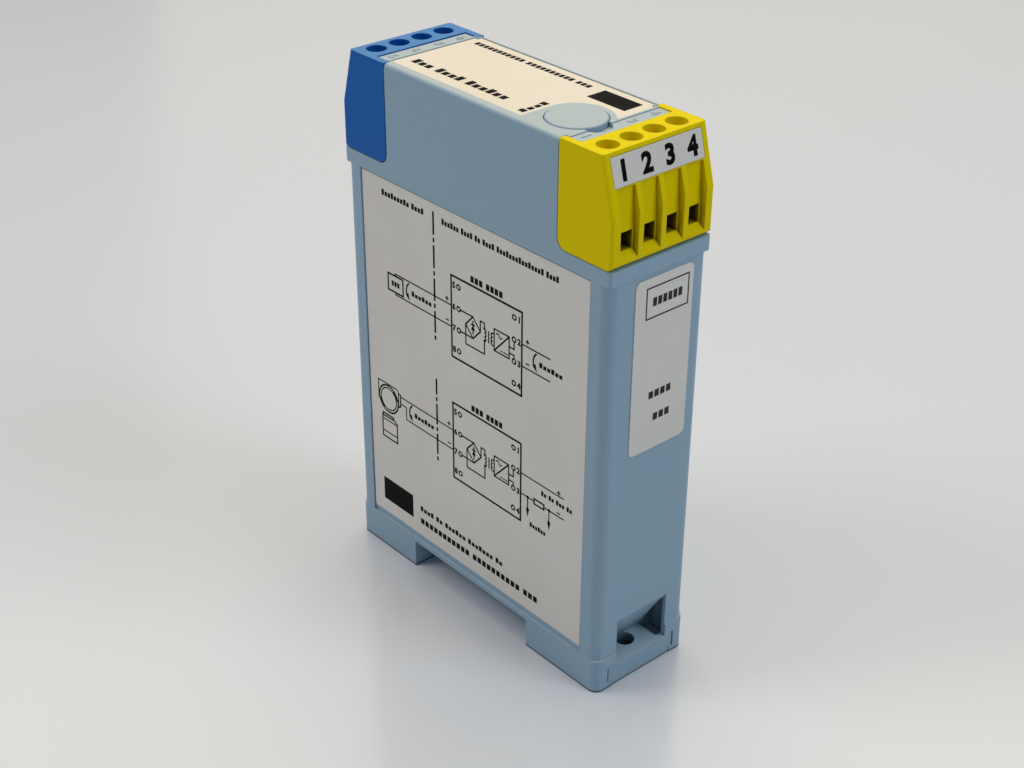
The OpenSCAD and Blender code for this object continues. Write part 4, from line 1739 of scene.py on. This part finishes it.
@dataclass
class Tag:
    """The white tag on the yellow block's leaning face, with a figure over each wire entry."""

    finishes: Finishes
    ways: int = 4
    figure_h: float = 3.4
    figure_weight: float = 0.24
    film: float = 0.02

    def dress(self) -> None:
        """Gives the tag its plastic."""
        dress("tag_plate", self.finishes.tag)

    def build(self) -> None:
        """Prints the figures."""
        mesh = frame["nodes"]["tag_plate"].data
        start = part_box("tag_plate")[0].y
        outer = max(mesh.polygons, key=lambda p: p.normal.x).normal.copy()
        across = Vector((0, 1, 0))
        up = outer.cross(across).normalized()
        corners = [v.co for v in mesh.vertices]
        reach = max(c.dot(outer) for c in corners)
        base = min(c.dot(up) for c in corners)
        tall = (max(c.dot(up) for c in corners) - base) / MM
        ink = Relief(self.film)
        for way in range(1, self.ways + 1):
            low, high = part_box(f"yellow_screw_{way}")
            y = (low.y + high.y) / 2 - start
            ink.figure(str(way), (y / MM, tall / 2), self.figure_h, self.figure_weight)
        face = Face(outer * reach + up * base + across * start, across, up)
        ink.piece("tag_print", face, self.finishes.ink, "case")


@dataclass(frozen=True)
class Lamp:
    """One soft square lamp."""

    name: str
    place: Place
    size: float
    power: float
    colour: Colour

    def build(self, aim: Vector) -> None:
        """Puts the lamp in the scene.

        Args:
            aim: The point that it is turned to.
        """
        data = bpy.data.lights.new(self.name, "AREA")
        data.size = self.size
        data.energy = self.power
        data.color = self.colour
        lamp = bpy.data.objects.new(self.name, data)
        lamp.location = self.place
        lamp.rotation_mode = "QUATERNION"
        lamp.rotation_quaternion = (aim - Vector(self.place)).to_track_quat("-Z", "Y")
        bpy.context.scene.collection.objects.link(lamp)


@dataclass
class Studio:
    """The floor, the lamps and the camera.

    A warm lamp hangs overhead, weaker ones light the two near sides, and one behind gives the sheen on top.
    """

    eye: Place = (0.21934, -0.19415, 0.22014)
    azimuth: float = 48.67
    elevation: float = 30.17
    roll: float = 0.32
    lens: float = 58.79
    sensor: float = 36.0
    nearest: float = 0.01
    aim: Place = (0.0, 0.0, 0.06)
    lamps: Sequence[Lamp] = (
        Lamp("overhead", (-0.2, 0.2, 0.9), size=1.2, power=7.4, colour=(1.0, 0.88, 0.69)),
        Lamp("left", (-0.5, -0.6, 0.8), size=0.4, power=2.6, colour=(1.0, 0.96, 0.93)),
        Lamp("right", (0.72, 0.3, 0.75), size=0.4, power=2.3, colour=(0.8, 0.92, 1.0)),
        Lamp("behind", (-0.75, 0.8, 0.5), size=0.9, power=1.0, colour=(1.0, 0.95, 0.88)),
    )
    floor_size: float = 6.0
    floor_colour: Colour = srgb("D8DDE6")
    floor_roughness: float = 0.16
    floor_specular: float = 0.8
    floor_mottle: float = 0.04
    floor_broad_mm: float = 160.0
    floor_fine_mm: float = 0.8
    floor_gloss: float = 0.08
    sky: Colour = (0.9, 0.95, 1.0)
    sky_strength: float = 0.2

    def build(self) -> None:
        """Sets everything up."""
        self._floor()
        self._sky()
        for lamp in self.lamps:
            lamp.build(Vector(self.aim))
        self._camera()
        bpy.context.scene.view_settings.view_transform = "Standard"

    def _floor(self) -> None:
        """Lays a plain pale table top with a low sheen."""
        graph = Graph("floor_pale")
        place = graph.place()
        broad = graph.noise(place, self.floor_broad_mm)
        fine = graph.noise(place, self.floor_fine_mm)
        colour = graph.tint(self.floor_colour, 1 + (broad - 0.5) * self.floor_mottle)
        rough = self.floor_roughness + fine * self.floor_gloss
        material = graph.surface(colour=colour, roughness=rough, specular=self.floor_specular)
        half = self.floor_size / 2
        corners = [(-half, -half, 0), (half, -half, 0), (half, half, 0), (-half, half, 0)]
        mesh = bpy.data.meshes.new("floor")
        mesh.from_pydata(corners, [], [range(len(corners))])
        mesh.materials.append(material)
        floor = bpy.data.objects.new("floor", mesh)
        bpy.context.scene.collection.objects.link(floor)

    def _sky(self) -> None:
        """Gives the scene an even pale surround."""
        world = bpy.data.worlds.new("surround")
        world.use_nodes = True
        background = world.node_tree.nodes["Background"]
        background.inputs["Color"].default_value = (*self.sky, 1.0)
        background.inputs["Strength"].default_value = self.sky_strength
        bpy.context.scene.world = world

    def _camera(self) -> None:
        """Puts the camera at the photograph's angle."""
        data = bpy.data.cameras.new("camera")
        data.lens = self.lens
        data.sensor_width = self.sensor
        data.clip_start = self.nearest
        camera = bpy.data.objects.new("camera", data)
        turn, rise = math.radians(self.azimuth), math.radians(self.elevation)
        back = Vector((math.sin(turn) * math.cos(rise), -math.cos(turn) * math.cos(rise), math.sin(rise)))
        camera.location = self.eye
        camera.rotation_mode = "QUATERNION"
        level = (-back).to_track_quat("-Z", "Y")
        camera.rotation_quaternion = level @ Quaternion((0, 0, 1), math.radians(self.roll))
        bpy.context.scene.collection.objects.link(camera)
        bpy.context.scene.camera = camera


def main() -> None:
    """Builds and dresses the module, piece by piece."""
    logging.basicConfig(level=logging.INFO, format="%(name)s: %(message)s")
    Studio().build()
    finishes = Finishes()
    Case(finishes).dress()
    ReturnSpring(finishes).build()
    Electronics(finishes).dress()
    for end in End:
        terminals = Terminals(finishes, end)
        terminals.dress()
        terminals.build()
    for label in (SideLabel(finishes), EndLabel(finishes), TopLabel(finishes), Tag(finishes)):
        label.dress()
        label.build()


if __name__ == "__main__":
    main()
